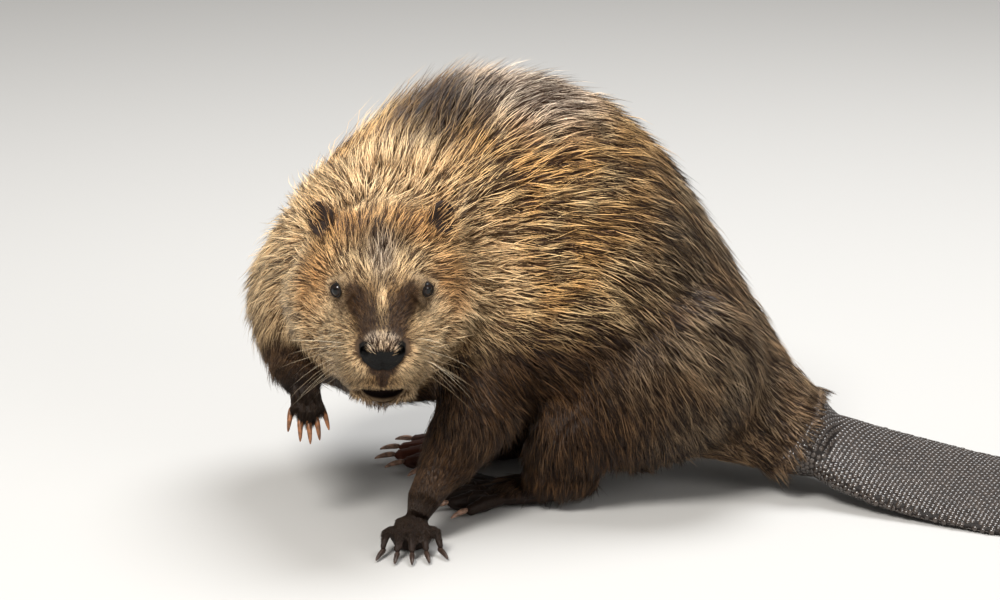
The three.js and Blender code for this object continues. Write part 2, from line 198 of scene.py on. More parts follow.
BODY_LIE = [
    # Where, which way, length, lift and depth.
    ((-140, -15, 335), (-0.5, 0.1, 0.85), 38, 34, 14),
    ((-130, 55, 310), (-0.5, 0.6, 0.6), 38, 30, 12),
    ((-120, 85, 226), (-0.4, 0.9, -0.1), 38, 24, 11),
    ((-110, 55, 150), (-0.3, 0.6, -0.75), 34, 24, 10),
    ((-130, -85, 310), (-0.5, -0.6, 0.6), 38, 32, 13),
    ((-130, -122, 226), (-0.6, -0.75, -0.25), 38, 34, 13),
    ((-120, -90, 140), (-0.4, -0.5, -0.75), 32, 28, 11),
    ((-190, -10, 345), (-0.15, 0.3, 1.0), 44, 58, 22),
    ((-200, 50, 375), (-0.1, 0.6, 0.8), 46, 50, 21),
    ((-204, 12, 352), (-0.1, 0.2, 1.0), 48, 76, 20),
    ((-210, 40, 370), (-0.1, 0.3, 1.0), 48, 76, 20),
    ((-216, 84, 386), (0, 1, 0.1), 44, 26, 14),
    ((-222, 100, 390), (0, 1, 0.05), 46, 22, 13),
    ((-232, 165, 378), (0, 1, -0.12), 46, 18, 13),
    ((-236, 225, 330), (0, 0.85, -0.5), 44, 17, 13),
    ((-224, 290, 225), (0, 0.6, -0.8), 42, 17, 12),
    ((-206, 345, 125), (0, 0.7, -0.7), 28, 14, 7),
    ((-186, 384, 75), (0.2, 0.9, -0.3), 13, 10, 3),
    ((-95, -10, 235), (-0.2, 0.95, -0.2), 42, 26, 13),
    ((-95, 20, 165), (0, 0.6, -0.8), 34, 22, 11),
    ((-112, 80, 305), (-0.1, 1, 0.0), 48, 20, 13),
    ((-84, 90, 215), (0, 0.98, -0.2), 46, 20, 13),
    ((-98, 90, 120), (0, 0.85, -0.5), 38, 20, 11),
    ((-124, 170, 300), (0, 0.97, -0.2), 46, 18, 13),
    ((-92, 170, 215), (0, 0.88, -0.45), 46, 20, 13),
    ((-80, 190, 145), (0, 0.6, -0.8), 38, 20, 11),
    ((-90, 245, 190), (0, 0.65, -0.75), 42, 18, 12),
    ((-130, 300, 140), (0, 0.5, -0.85), 38, 17, 11),
    ((-76, 222, 95), (0, 0.3, -0.95), 32, 18, 9),
    ((-150, 330, 70), (0, 0.6, -0.75), 28, 16, 8),
    ((-225, 60, 72), (0, 1, 0), 26, 14, 7),
    ((-225, 160, 60), (0, 1, 0), 26, 14, 7),
    ((-200, 260, 40), (0, 1, 0), 24, 14, 6),
    ((-215, -50, 92), (0, 1, -0.2), 28, 16, 8),
    ((-150, -120, 110), (-0.1, 0.1, -1), 32, 26, 10),
    ((-140, -140, 200), (-0.3, -0.5, -0.8), 36, 32, 13),
    ((-206, -156, 190), (-0.6, 0, -0.8), 36, 30, 13),
    ((-320, -60, 225), (-0.1, 0.7, -0.7), 40, 24, 13),
    ((-300, -60, 140), (0, 0.4, -0.9), 32, 22, 10),
    ((-330, 60, 305), (0.1, 1, 0), 46, 20, 13),
    ((-372, 80, 215), (0, 0.98, -0.2), 46, 20, 13),
    ((-345, 80, 115), (0, 0.85, -0.5), 38, 20, 11),
    ((-384, 170, 210), (0, 0.88, -0.45), 46, 18, 13),
    ((-350, 180, 300), (0, 0.97, -0.2), 46, 18, 13),
    ((-392, 225, 160), (0, 0.6, -0.8), 40, 18, 12),
    ((-392, 205, 100), (0, 0.3, -0.95), 32, 18, 9),
    ((-330, 310, 140), (0, 0.5, -0.85), 38, 17, 11),
    ((-270, 330, 70), (0, 0.6, -0.75), 28, 16, 8),
    ((-118, 64, 110), (0.35, 0.1, -0.9), 32, 18, 7),
    ((-78, 54, 78), (0.6, -0.15, -0.7), 23, 14, 4.2),
    ((-40, 32, 54), (0.65, -0.35, -0.6), 12, 10, 2.0),
    ((-14, 9, 28), (0.6, -0.2, -0.75), 4, 7, 0.8),
    ((-200, -96, 160), (0.6, -0.2, -0.5), 32, 20, 7),
    ((-150, -108, 146), (0.95, 0.1, -0.2), 22, 18, 3.8),
    ((-100, -98, 136), (0.8, 0.05, -0.6), 8, 10, 1.6),
    ((-84, -96, 120), (0.6, 0, -0.8), 4, 7, 0.8),
    ((-134, 158, 82), (0.1, -0.1, -1), 32, 18, 6),
    ((-134, 144, 52), (0.1, -0.1, -1), 25, 18, 4.4),
    ((-140, 140, 26), (0.3, -0.3, -0.9), 13, 16, 2.0),
    ((-318, 150, 84), (0, -0.1, -1), 32, 18, 6),
    ((-304, 122, 54), (0.1, -0.1, -1), 25, 18, 4.4),
    ((-293, 106, 26), (0.3, -0.3, -0.9), 13, 16, 2.0),
]


def lie_table():
    """The rows as arrays in the frame: places, directions, lengths, lifts, depths, reach of each row."""
    rows = []
    for where, source, length, lift, depth in HEAD_LIE:
        for side in sides_of(where):
            at, away_from = face(on_side(where, side)), face(on_side(source, side))
            rows.append((at, unit(at - away_from), length, lift, depth, 11))
    for where, way, length, lift, depth in BODY_LIE:
        rows.append((place(where), unit(way), length, lift, depth, 30))
    return [np.array(column, float) for column in zip(*rows)]


LIE = lie_table()


def coat_at(points):
    """Direction, length, lift and depth of the coat at each point, in metres and radians."""
    where, way, length, lift, depth, reach = LIE
    gap = ((points[:, None, :] - where[None]) ** 2).sum(-1) / (reach * MM) ** 2
    share = 1 / (gap + 1) ** 2.2
    share /= share.sum(1, keepdims=True)
    return unit(share @ way), share @ length * MM, np.radians(share @ lift), share @ depth * MM


def waves(points, size, seed):
    """A smooth wandering number from -1 to 1, one turn about every size metres."""
    rng = np.random.default_rng(seed)
    total = np.zeros(len(points))
    for _ in range(5):
        k = rng.normal(size=3)
        k *= 2 * math.pi / size / np.linalg.norm(k) * rng.uniform(0.6, 1.3)
        total += np.sin(points @ k + rng.uniform(0, 2 * math.pi))
    return np.clip(total / 2.6, -1, 1)


# ---------------------------------------------------------------- finishes


class Number:
    """A number that changes over a surface. Sums on it add Math nodes."""

    def __init__(self, finish, socket):
        self.finish, self.socket = finish, socket

    def sum(self, operation, a, b, clamp=False):
        settings = {"operation": operation, "use_clamp": clamp}
        return self.finish.node("ShaderNodeMath", settings, {0: a, 1: b})

    def __add__(self, other):
        return self.sum("ADD", self, other)

    __radd__ = __add__

    def __sub__(self, other):
        return self.sum("SUBTRACT", self, other)

    def __rsub__(self, other):
        return self.sum("SUBTRACT", other, self)

    def __mul__(self, other):
        return self.sum("MULTIPLY", self, other)

    __rmul__ = __mul__

    def clamped(self):
        return self.sum("ADD", self, 0.0, True)


class Finish:
    """One material: node() adds any node, surface() sets the shader."""

    def __init__(self, name):
        self.material = bpy.data.materials.new(name)
        self.material.use_nodes = True
        self.tree = self.material.node_tree
        self.shader = self.tree.nodes["Principled BSDF"]
        self.coords = None

    def put(self, socket, value):
        if isinstance(value, Number):
            self.tree.links.new(value.socket, socket)
        else:
            socket.default_value = (*value, 1) if socket.type == "RGBA" else value

    def node(self, kind, settings=None, sockets=None, out=0):
        made = self.tree.nodes.new(kind)
        for key, value in (settings or {}).items():
            setattr(made, key, value)
        for key, value in (sockets or {}).items():
            self.put(made.inputs[key], value)
        return Number(self, made.outputs[out])

    def surface(self, **values):
        for key, value in values.items():
            self.put(self.shader.inputs[key.replace("_", " ")], value)
        return self.material

    def here(self):
        if self.coords is None:
            self.coords = self.node("ShaderNodeTexCoord", out="Object")
        return self.coords

    def attribute(self, name):
        return self.node("ShaderNodeAttribute", {"attribute_name": name}, out="Fac")

    def noise(self, size, detail=2.0):
        """Soft noise, 0 to 1, whose lumps are about size metres across."""
        sockets = {"Vector": self.here(), "Scale": 1 / size, "Detail": detail, "Roughness": 0.5}
        return self.node("ShaderNodeTexNoise", {}, sockets)

    def step(self, value, low, high, a=0.0, b=1.0):
        """a below low, b above high, and a smooth step between."""
        sockets = {"Value": value, "From Min": low, "From Max": high, "To Min": a, "To Max": b}
        return self.node("ShaderNodeMapRange", {"interpolation_type": "SMOOTHSTEP"}, sockets)

    def near(self, where, radii, soft, turn=(0.0, 0.0, 0.0)):
        """1 inside an ellipsoid at a point of the frame and 0 outside, with a soft border."""
        sockets = {
            "Vector": self.here(),
            "Location": tuple(float(x) for x in where),
            "Rotation": turn,
            "Scale": tuple(r * MM for r in radii),
        }
        local = self.node("ShaderNodeMapping", {"vector_type": "TEXTURE"}, sockets)
        far = self.node("ShaderNodeVectorMath", {"operation": "LENGTH"}, {0: local}, out="Value")
        return self.step(far, 1 - soft, 1 + soft, 1.0, 0.0)

    def blend(self, share, a, b):
        """The colour a where share is 0 and b where it is 1."""
        settings = {"data_type": "RGBA", "blend_type": "MIX", "clamp_factor": True}
        return self.node("ShaderNodeMix", settings, {0: share, 6: a, 7: b}, out=2)

    def bump(self, height, strength, distance):
        sockets = {"Height": height, "Strength": strength, "Distance": distance}
        return self.node("ShaderNodeBump", {}, sockets)


# Soft spots of each kind of hair: where, radii, softness and strength.
HEAD_SPOTS = {
    "pale": [
        ((-52, 56, -16), (62, 44, 54), 0.45, 1.0),
        ((-8, 20, -8), (20, 14, 22), 0.4, 1.0),
        ((-70, 32, 52), (34, 34, 22), 0.6, 0.6),
        ((-120, 92, 20), (50, 40, 70), 0.6, 0.6),
        ((-6, 0, -48), (22, 34, 14), 0.5, 0.7),
    ],
    "tuft": [((-30, 0, 38), (20, 6, 12), 0.5, 1.0)],
    "rufous": [
        ((-118, 0, 84), (26, 44, 20), 0.6, 0.6),
        ((-92, 68, 28), (30, 20, 36), 0.6, 1.0),
        ((-112, 36, 74), (24, 24, 20), 0.6, 0.8),
    ],
    "bridge": [
        ((-20, 14, 21), (28, 12, 22), 0.75, 1.0),
        ((-42, 23, 30), (18, 8, 12), 0.6, 0.7),
    ],
    "brow": [
        ((-54, 0, 46), (30, 14, 24), 0.6, 0.6),
        ((-84, 0, 70), (26, 44, 17), 0.6, 0.75),
        ((-54, 34, 28), (20, 17, 19), 0.6, 0.8),
    ],
    "lip": [
        ((-2, 0, -20), (14, 11, 5), 0.6, 1.3),
        ((-2, 0, -26), (14, 4.5, 10), 0.6, 1.3),
    ],
    "fringe": [((-24, 0, -78), (60, 50, 15), 0.5, 0.7)],
    "silver_and_sheen": [
        ((-70, 0, 66), (26, 14, 18), 0.6, 0.6),
        ((2, 0, 9), (12, 17, 10), 0.3, 0.6),
    ],
    "nose_rim": [((-2, 0, -4), (15, 22, 19), 0.15, 1.0)],
}
BODY_SPOTS = {
    "pale": [
        ((-135, -25, 318), (66, 72, 44), 0.6, 0.85),
        ((-190, -130, 232), (110, 64, 100), 0.5, 0.95),
    ],
    "rump": [((-226, 330, 180), (200, 150, 180), 0.45, 1.0)],
    "nape": [((-205, 34, 372), (70, 54, 42), 0.6, 1.0)],
    # Painted shade under the body.
    "belly": [((-225, 90, 50), (170, 300, 62), 0.45, 0.7)],
    "foreleg": [((-36, 32, 26), (84, 54, 68), 0.55, 1.0)],
    "raised_arm": [((-104, -100, 120), (74, 48, 38), 0.5, 1.0)],
    "hind_legs": [
        ((-134, 150, 40), (60, 60, 60), 0.4, 1.0),
        ((-300, 120, 40), (60, 60, 60), 0.4, 1.0),
    ],
    # Painted shade low on the near flank.
    "flank": [((-84, 170, 118), (60, 130, 52), 0.6, 0.6)],
    # Painted sheen: silvery tips on top of the back, where the light from above falls.
    "silver_and_sheen": [((-215, 128, 398), (100, 70, 60), 0.5, 1.0)],
    "hands": [((-4, 4, 14), (62, 52, 34), 0.5, 1.0), ((-70, -96, 108), (44, 44, 36), 0.4, 1.0)],
    "red_toes": [((-282, -14, 16), (40, 34, 22), 0.5, 1.0)],
}


def spots(finish, kind):
    """All the soft spots of one kind, added up."""
    total, tilt = 0.0, (0.0, HEAD_DOWN, HEAD_TURN)
    for where, radii, soft, strength in HEAD_SPOTS.get(kind, ()):
        for side in sides_of(where):
            total = total + finish.near(face(on_side(where, side)), radii, soft, tilt) * strength
    for where, radii, soft, strength in BODY_SPOTS.get(kind, ()):
        total = total + finish.near(place(where), radii, soft) * strength
    return total


def markings(finish):
    """The animal's pattern, the same for skin and coat.

    It gives the shares of pale, rufous and dark hair, of dark tips, of silvery hair and of warm streaks.
    The dark holds painted shade low on the body, and the silvery hair holds painted sheen on the back and
    rump.
    """
    streak = finish.step(finish.noise(0.05, 3.0), 0.38, 0.62)
    rump, tuft = spots(finish, "rump"), spots(finish, "tuft")
    bridge = spots(finish, "bridge") * (0.74 + 0.6 * finish.noise(0.005))
    nape = spots(finish, "nape") * (0.6 + 0.7 * finish.noise(0.012))
    lip, foreleg = spots(finish, "lip"), spots(finish, "foreleg")
    # Silvery hair of crown and nose, and painted sheen on the back and a little on the rump.
    silver_and_sheen = spots(finish, "silver_and_sheen") + rump * 0.14
    height = finish.node("ShaderNodeSeparateXYZ", {}, {0: finish.here()}, out="Z")
    # Painted shade: the hair darkens towards the bottom, from 0.24 m down to 0.08 m.
    low = finish.step(height, 0.08, 0.24, 1.0, 0.0)
    dark = rump * 0.95 + nape + low * 0.95 + bridge + lip + foreleg
    for kind in ("belly", "raised_arm", "hind_legs", "flank", "brow", "fringe"):
        dark = dark + spots(finish, kind)
    dark = (dark.clamped() - tuft * 0.8).clamped()
    pale = spots(finish, "pale").clamped() * (1 - (bridge + lip).clamped())
    pale = (pale - foreleg + tuft).clamped()
    rufous = spots(finish, "rufous").clamped()
    dark_tips = (dark - silver_and_sheen * 0.4 - rump * 0.18).clamped()
    return pale, rufous, (dark - silver_and_sheen * 0.2).clamped(), dark_tips, silver_and_sheen.clamped(), streak


# ---------------------------------------------------------------- mesh helpers


def new_piece(name, mesh, material, replaced=()):
    """A finished piece: in the scene, on the animal's body, in its finish."""
    piece = bpy.data.objects.new(name, mesh)
    bpy.context.scene.collection.objects.link(piece)
    mesh.materials.clear()
    mesh.materials.append(material)
    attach(piece, "root")
    if replaced:
        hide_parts(*replaced)
    return piece


def mesh_from_bmesh(bm, name):
    mesh = bpy.data.meshes.new(name)
    bm.to_mesh(mesh)
    bm.free()
    mesh.polygons.foreach_set("use_smooth", np.ones(len(mesh.polygons), bool))
    mesh.update()
    return mesh


def column(data, name, width, kind=np.float32):
    """One value of every item in a Blender list, as an array with a row for each item."""
    values = np.empty(len(data) * width, kind)
    data.foreach_get(name, values)
    return values.reshape(-1, width)


def points_of(mesh):
    return column(mesh.vertices, "co", 3).astype(float)


def set_points(mesh, co):
    mesh.vertices.foreach_set("co", co.astype(np.float32).ravel())
    mesh.update()


def normals_of(mesh):
    return column(mesh.vertex_normals, "vector", 3).astype(float)


def edges_of(mesh):
    return column(mesh.edges, "vertices", 2, np.int32)


def eased(values, edges, times, share=1.0, firm=None):
    """Values passed to neighbours a number of times. A counter-step, firm, keeps a shape's size."""
    flat = values.ndim == 1
    x = values[:, None].copy() if flat else values.copy()
    a, b = edges.T
    ends, starts = np.concatenate((a, b)), np.concatenate((b, a))
    count = np.maximum(np.bincount(ends, minlength=len(x)), 1)
    share = np.broadcast_to(np.asarray(share, float), len(x))[:, None]
    for _ in range(times):
        for step in (0.5,) if firm is None else (0.5, firm):
            mean = np.stack([np.bincount(ends, x[starts, k], len(x)) for k in range(x.shape[1])], 1)
            x += (mean / count[:, None] - x) * share * step
    return x[:, 0] if flat else x


def mark(mesh, name, values):
    mesh.attributes.new(name, "FLOAT", "POINT").data.foreach_set("value", values.astype(np.float32))


def evaluated(piece):
    """A new mesh with the piece's modifiers in it."""
    return bpy.data.meshes.new_from_object(piece.evaluated_get(bpy.context.evaluated_depsgraph_get()))


def drop_specks(mesh):
    """Takes out the small closed bubbles that a remesh leaves inside."""
    edges, label = edges_of(mesh), np.arange(len(mesh.vertices))
    while True:
        least = label.copy()
        np.minimum.at(least, edges[:, 0], label[edges[:, 1]])
        np.minimum.at(least, edges[:, 1], label[edges[:, 0]])
        least = least[least]
        if (least == label).all():
            break
        label = least
    main_one = np.bincount(label).argmax()
    if (label != main_one).any():
        bm = bmesh.new()
        bm.from_mesh(mesh)
        bm.verts.ensure_lookup_table()
        specks = [bm.verts[int(i)] for i in np.flatnonzero(label != main_one)]
        bmesh.ops.delete(bm, geom=specks, context="VERTS")
        bm.to_mesh(mesh)
        bm.free()


def remove(piece):
    mesh = piece.data
    bpy.data.objects.remove(piece)
    bpy.data.meshes.remove(mesh)


# ---------------------------------------------------------------- the skin

# How much of a node's surface is smoothed, and its depth under the tips where it has no long hair.
SMOOTHED = {"head": 0.5, "nose": 0.1, "ear": 0.12, "tail_paddle": 0.12, "forefoot": 0.08, "hindfoot": 0.08}
BARE_DEPTH = {"nose": 0.1, "ear": 0.7, "tail_paddle": 0.9, "forefoot": 0.5, "hindfoot": 0.5}
KINDS = ("head", "nose", "ear", "tail_paddle", "tail_root", "forefoot", "hindfoot", "neck", "trunk", "leg")


def kind_of(node):
    """The number of the kind that a node's name begins with. A leg's pieces are the kind leg."""
    return next((k for k, kind in enumerate(KINDS) if node.startswith(kind)), KINDS.index("leg"))


def with_scaly_root(kind, co):
    """The kinds, with the tail root's scaly end counted as paddle.

    The scales begin further back above than below.
    """
    p = co / MM - PRINT
    scaly = (kind == KINDS.index("tail_root")) & (p[:, 1] > 358 + 0.9 * (p[:, 2] - 60))
    return np.where(scaly, KINDS.index("tail_paddle"), kind)


def flesh_tree():
    """All the flesh nodes' faces as one search tree, and each face's kind."""
    corners, faces, kinds = [], [], []
    for name in FLESH:
        mesh = NODES[name].data
        start = len(corners)
        corners.extend(v.co[:] for v in mesh.vertices)
        for f in mesh.polygons:
            faces.append([start + i for i in f.vertices])
            kinds.append(kind_of(name))
    return BVHTree.FromPolygons(corners, faces), np.array(kinds)


def closed_flesh(grow):
    """Every flesh node and the eyeballs as one mesh, swelled so that the thin gaps between them close."""
    bm = bmesh.new()
    for name in (*FLESH, *EYES):
        bm.from_mesh(NODES[name].data)
    bmesh.ops.remove_doubles(bm, verts=bm.verts, dist=1e-5)
    bm.normal_update()
    moved = [v.co + v.normal * grow for v in bm.verts]
    for v, co in zip(bm.verts, moved):
        v.co = co
    return mesh_from_bmesh(bm, "closed_flesh")


def lids(p):
    """The skin lifted over each eyeball and opened in a rounded slit, and the share of lid.

    p is in the head's millimetres.
    """
    share = np.zeros(len(p))
    for side in (1, -1):
        centre, out, _ = eye_axes(side)
        # The brow and cheek swell up round the eyeball.
        offset = p - centre
        deep = offset @ out
        wide = norms(offset - deep[:, None] * out)
        swell = np.maximum(0, 2.6 - deep) * fade(wide, 8.5, 17) * (deep > -14) * (wide < 18)
        p = p + swell[:, None] * out
        offset = p - centre
        far = norms(offset)
        close = far < 17
        toward = offset / np.maximum(far, 1e-9)[:, None]
        opening = slit(toward, side, SLIT)
        # How far the skin is from the eyeball's centre: inside the ball in the slit, outside at the lids.
        rim = 5.0 + (7.3 - 5.0) * ramp(opening, 0.86, 1.0)
        rim = rim + 0.4 * ramp(opening, 1.0, 1.12) * fade(opening, 1.15, 1.5)
        hold = fade(opening, 1.25, 1.9) * close
        moved = centre + toward * (far + (rim - far) * hold)[:, None]
        p = np.where((hold > 0)[:, None], moved, p)
        share = np.maximum(share, fade(opening, 1.15, 1.5) * close)
    return p, share


def between_fingers(co):
    """How far the skin sinks between the fingers of the raised hand, in metres."""
    wrist, claws = place((-100, -98, 136)), []
    for name in sorted(NODES):
        if name.startswith("foreclaw_right"):
            corners = points_of(NODES[name].data)
            far = norms(corners - wrist)
            base, tip = corners[far < np.quantile(far, 0.25)], corners[far > np.quantile(far, 0.8)]
            claws.append((base.mean(0), tip.mean(0)))
    claws.sort(key=lambda claw: claw[0][1])
    across = unit(claws[-1][0] - claws[0][0])
    gap, reach = np.full(len(co), 1.0), np.zeros(len(co))
    for base, tip in claws:
        axis = unit(base - tip)
        up = (co - base) @ axis
        off = co - base - axis * up[:, None]
        gap = np.minimum(gap, np.abs(off @ across))
        near = norms(off) < 0.014
        reach = np.maximum(reach, ramp(up, -0.008, 0.0) * fade(up, 0.016, 0.030) * near)
    return 0.0026 * ramp(gap, 0.0014, 0.0042) * reach


def mouth_form(p):
    """How far a point lies inside the parted mouth, 0 to 1, and inside the lower lip."""
    # middle is 1 at the middle of the mouth and 0 at its corners.
    middle = 1 - (p[:, 1] / 23.0) ** 2
    upper = -37.8 - 2.8 * np.clip(middle, 0, 1) ** 0.5
    lower = upper - 18.5 * np.clip(middle, 0, 1) ** 0.8
    front = p[:, 0] > -34
    inside = ramp(upper - p[:, 2], -0.6, 1.2) * ramp(p[:, 2] - lower, -0.6, 1.2) * (middle > 0) * front
    below = lower - p[:, 2]
    lip = ramp(below, -1.0, 0.4) * fade(below, 1.0, 2.4) * (middle > -0.1) * front
    return inside, lip


def nose_form(p):
    """Shares of bare nose pad, nostril and the groove under the nose."""
    side, z = np.abs(p[:, 1]), p[:, 2]
    width = np.interp(z, (-20, -17, -11, -4, 3, 8, 12), (3.0, 9.0, 15.5, 18.5, 19.0, 15.0, 6.0))
    pad = fade(side / width, 0.9, 1.12) * ramp(z, -20, -17.5) * fade(z, 9, 13)
    pad = pad * ramp(p[:, 0], -17, -13)
    hole = np.zeros(len(p))
    for hand in (1, -1):
        # Each nostril is an upright ellipse that leans outwards.
        lean = np.array(((1, 0, 0), (0, 0.80, 0.60 * hand), (0, -0.60 * hand, 0.80)))
        offset = (p - (1.0, 15.0 * hand, 0.5)) @ lean.T
        hole = np.maximum(hole, fade(norms(offset / (12, 4.1, 6.8)), 0.6, 1.1))
    groove = fade(side, 0.5, 2.4) * ramp(z, -40, -36) * fade(z, -11, -6) * (p[:, 0] > -20)
    return pad, hole, groove


def share_of(kind, names, edges, times):
    """1 on the skin of some kinds of node and 0 elsewhere, with a soft border."""
    return eased(np.isin(kind, [KINDS.index(name) for name in names]).astype(float), edges, times)


# The step against shrinking that goes with each smoothing step of the skin.
FIRM = -0.52


def merged_flesh(swell):
    """The swelled flesh as one closed mesh with small even faces."""
    scene = bpy.context.scene
    shell = bpy.data.objects.new("shell", closed_flesh(swell))
    scene.collection.objects.link(shell)
    remesh = shell.modifiers.new("whole", "REMESH")
    remesh.mode, remesh.voxel_size, remesh.adaptivity = "VOXEL", scene.beaver_skin.grain, 0.0
    whole = evaluated(shell)
    remove(shell)
    drop_specks(whole)
    return whole


def sink_skin(mesh, kind, swell):
    """Smooths the merged flesh and sinks it by the coat's depth. It gives the points and their depths."""
    co, edges = points_of(mesh), edges_of(mesh)
    smooth = np.array([SMOOTHED.get(name, 1.0) for name in KINDS])[kind]
    smooth = eased(smooth, edges, 6)
    co = eased(co, edges, 3, np.clip(smooth * 3, 0.3, 1), -0.53)
    co = eased(co, edges, 60, smooth, FIRM)
    set_points(mesh, co)
    # Creases such as those between body and legs are filled: hollows come out, swells stay.
    normal = normals_of(mesh)
    for _ in range(4):
        rise = ((eased(co, edges, 45, smooth) - co) * normal).sum(1)
        rise = eased(np.maximum(rise, 0) * ramp(smooth, 0.6, 0.95), edges, 10)
        co = co + normal * rise[:, None]
    set_points(mesh, co)

    kind = with_scaly_root(kind, co)
    bare = np.array([name in BARE_DEPTH for name in KINDS])[kind]
    bare_depth = np.array([BARE_DEPTH.get(name, 0) * MM for name in KINDS])[kind]
    depth = eased(np.where(bare, bare_depth, coat_at(co)[3]), edges, 14)
    normal = unit(eased(normals_of(mesh), edges, 6))
    co = co - normal * (depth + swell + between_fingers(co))[:, None]
    co = eased(co, edges, 6, np.clip(smooth, 0.1, 1), FIRM)
    set_points(mesh, co)
    return co, depth


def fewer_faces(mesh, co, depth):
    """The skin with fewer faces under long hair. Face, ears, feet and tail keep theirs."""
    scene = bpy.context.scene
    skin = bpy.data.objects.new("skin", mesh)
    scene.collection.objects.link(skin)
    group = skin.vertex_groups.new(name="plain")
    plain = ramp(depth, 3 * MM, 7 * MM) * ramp(norms(on_head(co) - (-30, 0, 0)), 70, 95)
    for i in np.flatnonzero(plain > 0.02):
        group.add((int(i),), float(plain[i]), "REPLACE")
    thin_out = skin.modifiers.new("thin", "DECIMATE")
    thin_out.ratio, thin_out.vertex_group = scene.beaver_skin.kept, "plain"
    thinner = evaluated(skin)
    remove(skin)
    return thinner


def finer_muzzle(mesh):
    """The skin with finer faces where the muzzle and the lids are shaped."""
    bm = bmesh.new()
    bm.from_mesh(mesh)
    for reach, eye_reach in ((1.0, 17.0), (0.62, 12.5)):
        fine = set()
        for v in bm.verts:
            x, y, z = on_head(v.co[:])
            muzzle = ((x + 12) / 30) ** 2 + (y / 34) ** 2 + ((z + 16) / 46) ** 2 < reach
            by_eye = (x + 59) ** 2 + (abs(y) - 40) ** 2 + (z - 32) ** 2 < eye_reach**2
            if muzzle or by_eye:
                fine.add(v)
        cut = [e for e in bm.edges if e.verts[0] in fine and e.verts[1] in fine]
        bmesh.ops.subdivide_edges(bm, edges=cut, cuts=1, use_grid_fill=True)
    bmesh.ops.triangulate(bm, faces=[f for f in bm.faces if len(f.verts) > 4])
    bpy.data.meshes.remove(mesh)
    return mesh_from_bmesh(bm, "skin")


def shape_face(mesh):
    """Forms nose, mouth and lids in the skin, and gives the share of each on every point."""
    co, edges = points_of(mesh), edges_of(mesh)
    muzzle = fade(norms((on_head(co) - (-12, 0, -16)) / (34, 40, 52)), 0.85, 1.0)
    h = on_head(eased(co, edges, 12, muzzle, FIRM))
    inside, lip = mouth_form(h)
    pad, hole, groove = nose_form(h)
    inward = 14.0 * inside + 8.0 * hole + 1.3 * groove - 0.9 * lip * (1 - inside)
    # The pad stands off the lip a little, and swells over each nostril.
    wing = norms((one_side(h) - (2, 12, 8)) / (12, 8, 4))
    inward = inward - 1.5 * fade(wing, 0.2, 1.0) - 0.8 * pad
    h[:, 0] -= inward
    h, lidded = lids(h)
    set_points(mesh, eased(face(h), edges, 2, np.clip(muzzle + lidded, 0, 1) * 0.5))
    return {"nose": pad, "mouth": inside, "lip": lip, "lid": lidded}


def build_skin():
    """The whole skin: the flesh merged, smoothed, sunk by the coat's depth, and shaped at the face."""
    tree, kinds = flesh_tree()

    def kind_at(co):
        return np.array([kinds[tree.find_nearest(Vector(p))[2]] for p in co])

    # The swelling that closes the thin gaps, taken back when the skin is sunk.
    swell = 0.45 * MM
    whole = merged_flesh(swell)
    co, depth = sink_skin(whole, kind_at(points_of(whole)), swell)
    skin = finer_muzzle(fewer_faces(whole, co, depth))
    marks = shape_face(skin)
    co, edges = points_of(skin), edges_of(skin)
    kind = with_scaly_root(kind_at(co), co)
    marks["ear"] = share_of(kind, ("ear",), edges, 3)
    marks["tail"] = share_of(kind, ("tail_paddle",), edges, 3)
    marks["foot"] = share_of(kind, ("forefoot", "hindfoot"), edges, 6)
    for name, values in marks.items():
        mark(skin, name, values)
    return skin


def skin_finish():
    finish = Finish("skin")
    pale, rufous, dark, _, _, streak = markings(finish)
    fibre = finish.noise(0.0012, 3.0)
    pebble = finish.node("ShaderNodeTexVoronoi", {}, {"Vector": finish.here(), "Scale": 700.0})
    edge = {"feature": "DISTANCE_TO_EDGE"}
    cell = finish.node("ShaderNodeTexVoronoi", edge, {"Vector": finish.here(), "Scale": 640.0})
    nose, mouth, lip, lid, foot, tail, ear = (
        finish.attribute(name) for name in ("nose", "mouth", "lip", "lid", "foot", "tail", "ear")
    )
    lump = finish.noise(0.004, 3.0)
    ear_skin = finish.blend(lump, (0.020, 0.014, 0.012), (0.046, 0.031, 0.025))
    leather = finish.blend(lump, (0.008, 0.005, 0.004), (0.028, 0.016, 0.011))
    leather = finish.blend(spots(finish, "red_toes") * 0.6, leather, (0.17, 0.045, 0.022))
    nose_skin = finish.blend(pebble, (0.002, 0.002, 0.002), (0.008, 0.0075, 0.007))
    colour = finish.blend(streak, (0.050, 0.030, 0.019), (0.085, 0.052, 0.032))
    for share, over in (
        (pale * 0.7, (0.17, 0.105, 0.058)),
        (rufous * 0.5, (0.20, 0.085, 0.028)),
        (dark * 0.75, (0.020, 0.013, 0.010)),
        (ear, ear_skin),
        (finish.step(foot, 0.3, 0.8), leather),
        (finish.step(tail, 0.3, 0.7), (0.014, 0.011, 0.010)),
        (finish.step(lid, 0.3, 0.9), (0.010, 0.008, 0.007)),
        (finish.step(lip, 0.2, 0.8), (0.24, 0.165, 0.10)),
        (spots(finish, "nose_rim") * 0.85, (0.020, 0.013, 0.010)),
        (finish.step(nose, 0.0, 0.25), nose_skin),
        # Painted shade: inside the parted mouth is near black.
        (finish.step(mouth, 0.2, 0.6), (0.012, 0.006, 0.005)),
    ):
        colour = finish.blend(share, colour, over)
    naked = (foot * 0.8 + tail * 0.8 + nose * 0.75 + lid * 0.8).clamped()
    rough = 0.78 - naked * 0.42 + (fibre - 0.5) * 0.1
    height = fibre * (0.5 - nose * 0.4) + (1 - finish.step(cell, 0.0, 0.14)) * foot * -0.35
    relief = finish.bump(height + pebble * nose * -0.6, 0.6, 0.0006)
    return finish.surface(Base_Color=colour, Roughness=rough, Specular_IOR_Level=0.14, Normal=relief)


# ---------------------------------------------------------------- the coat


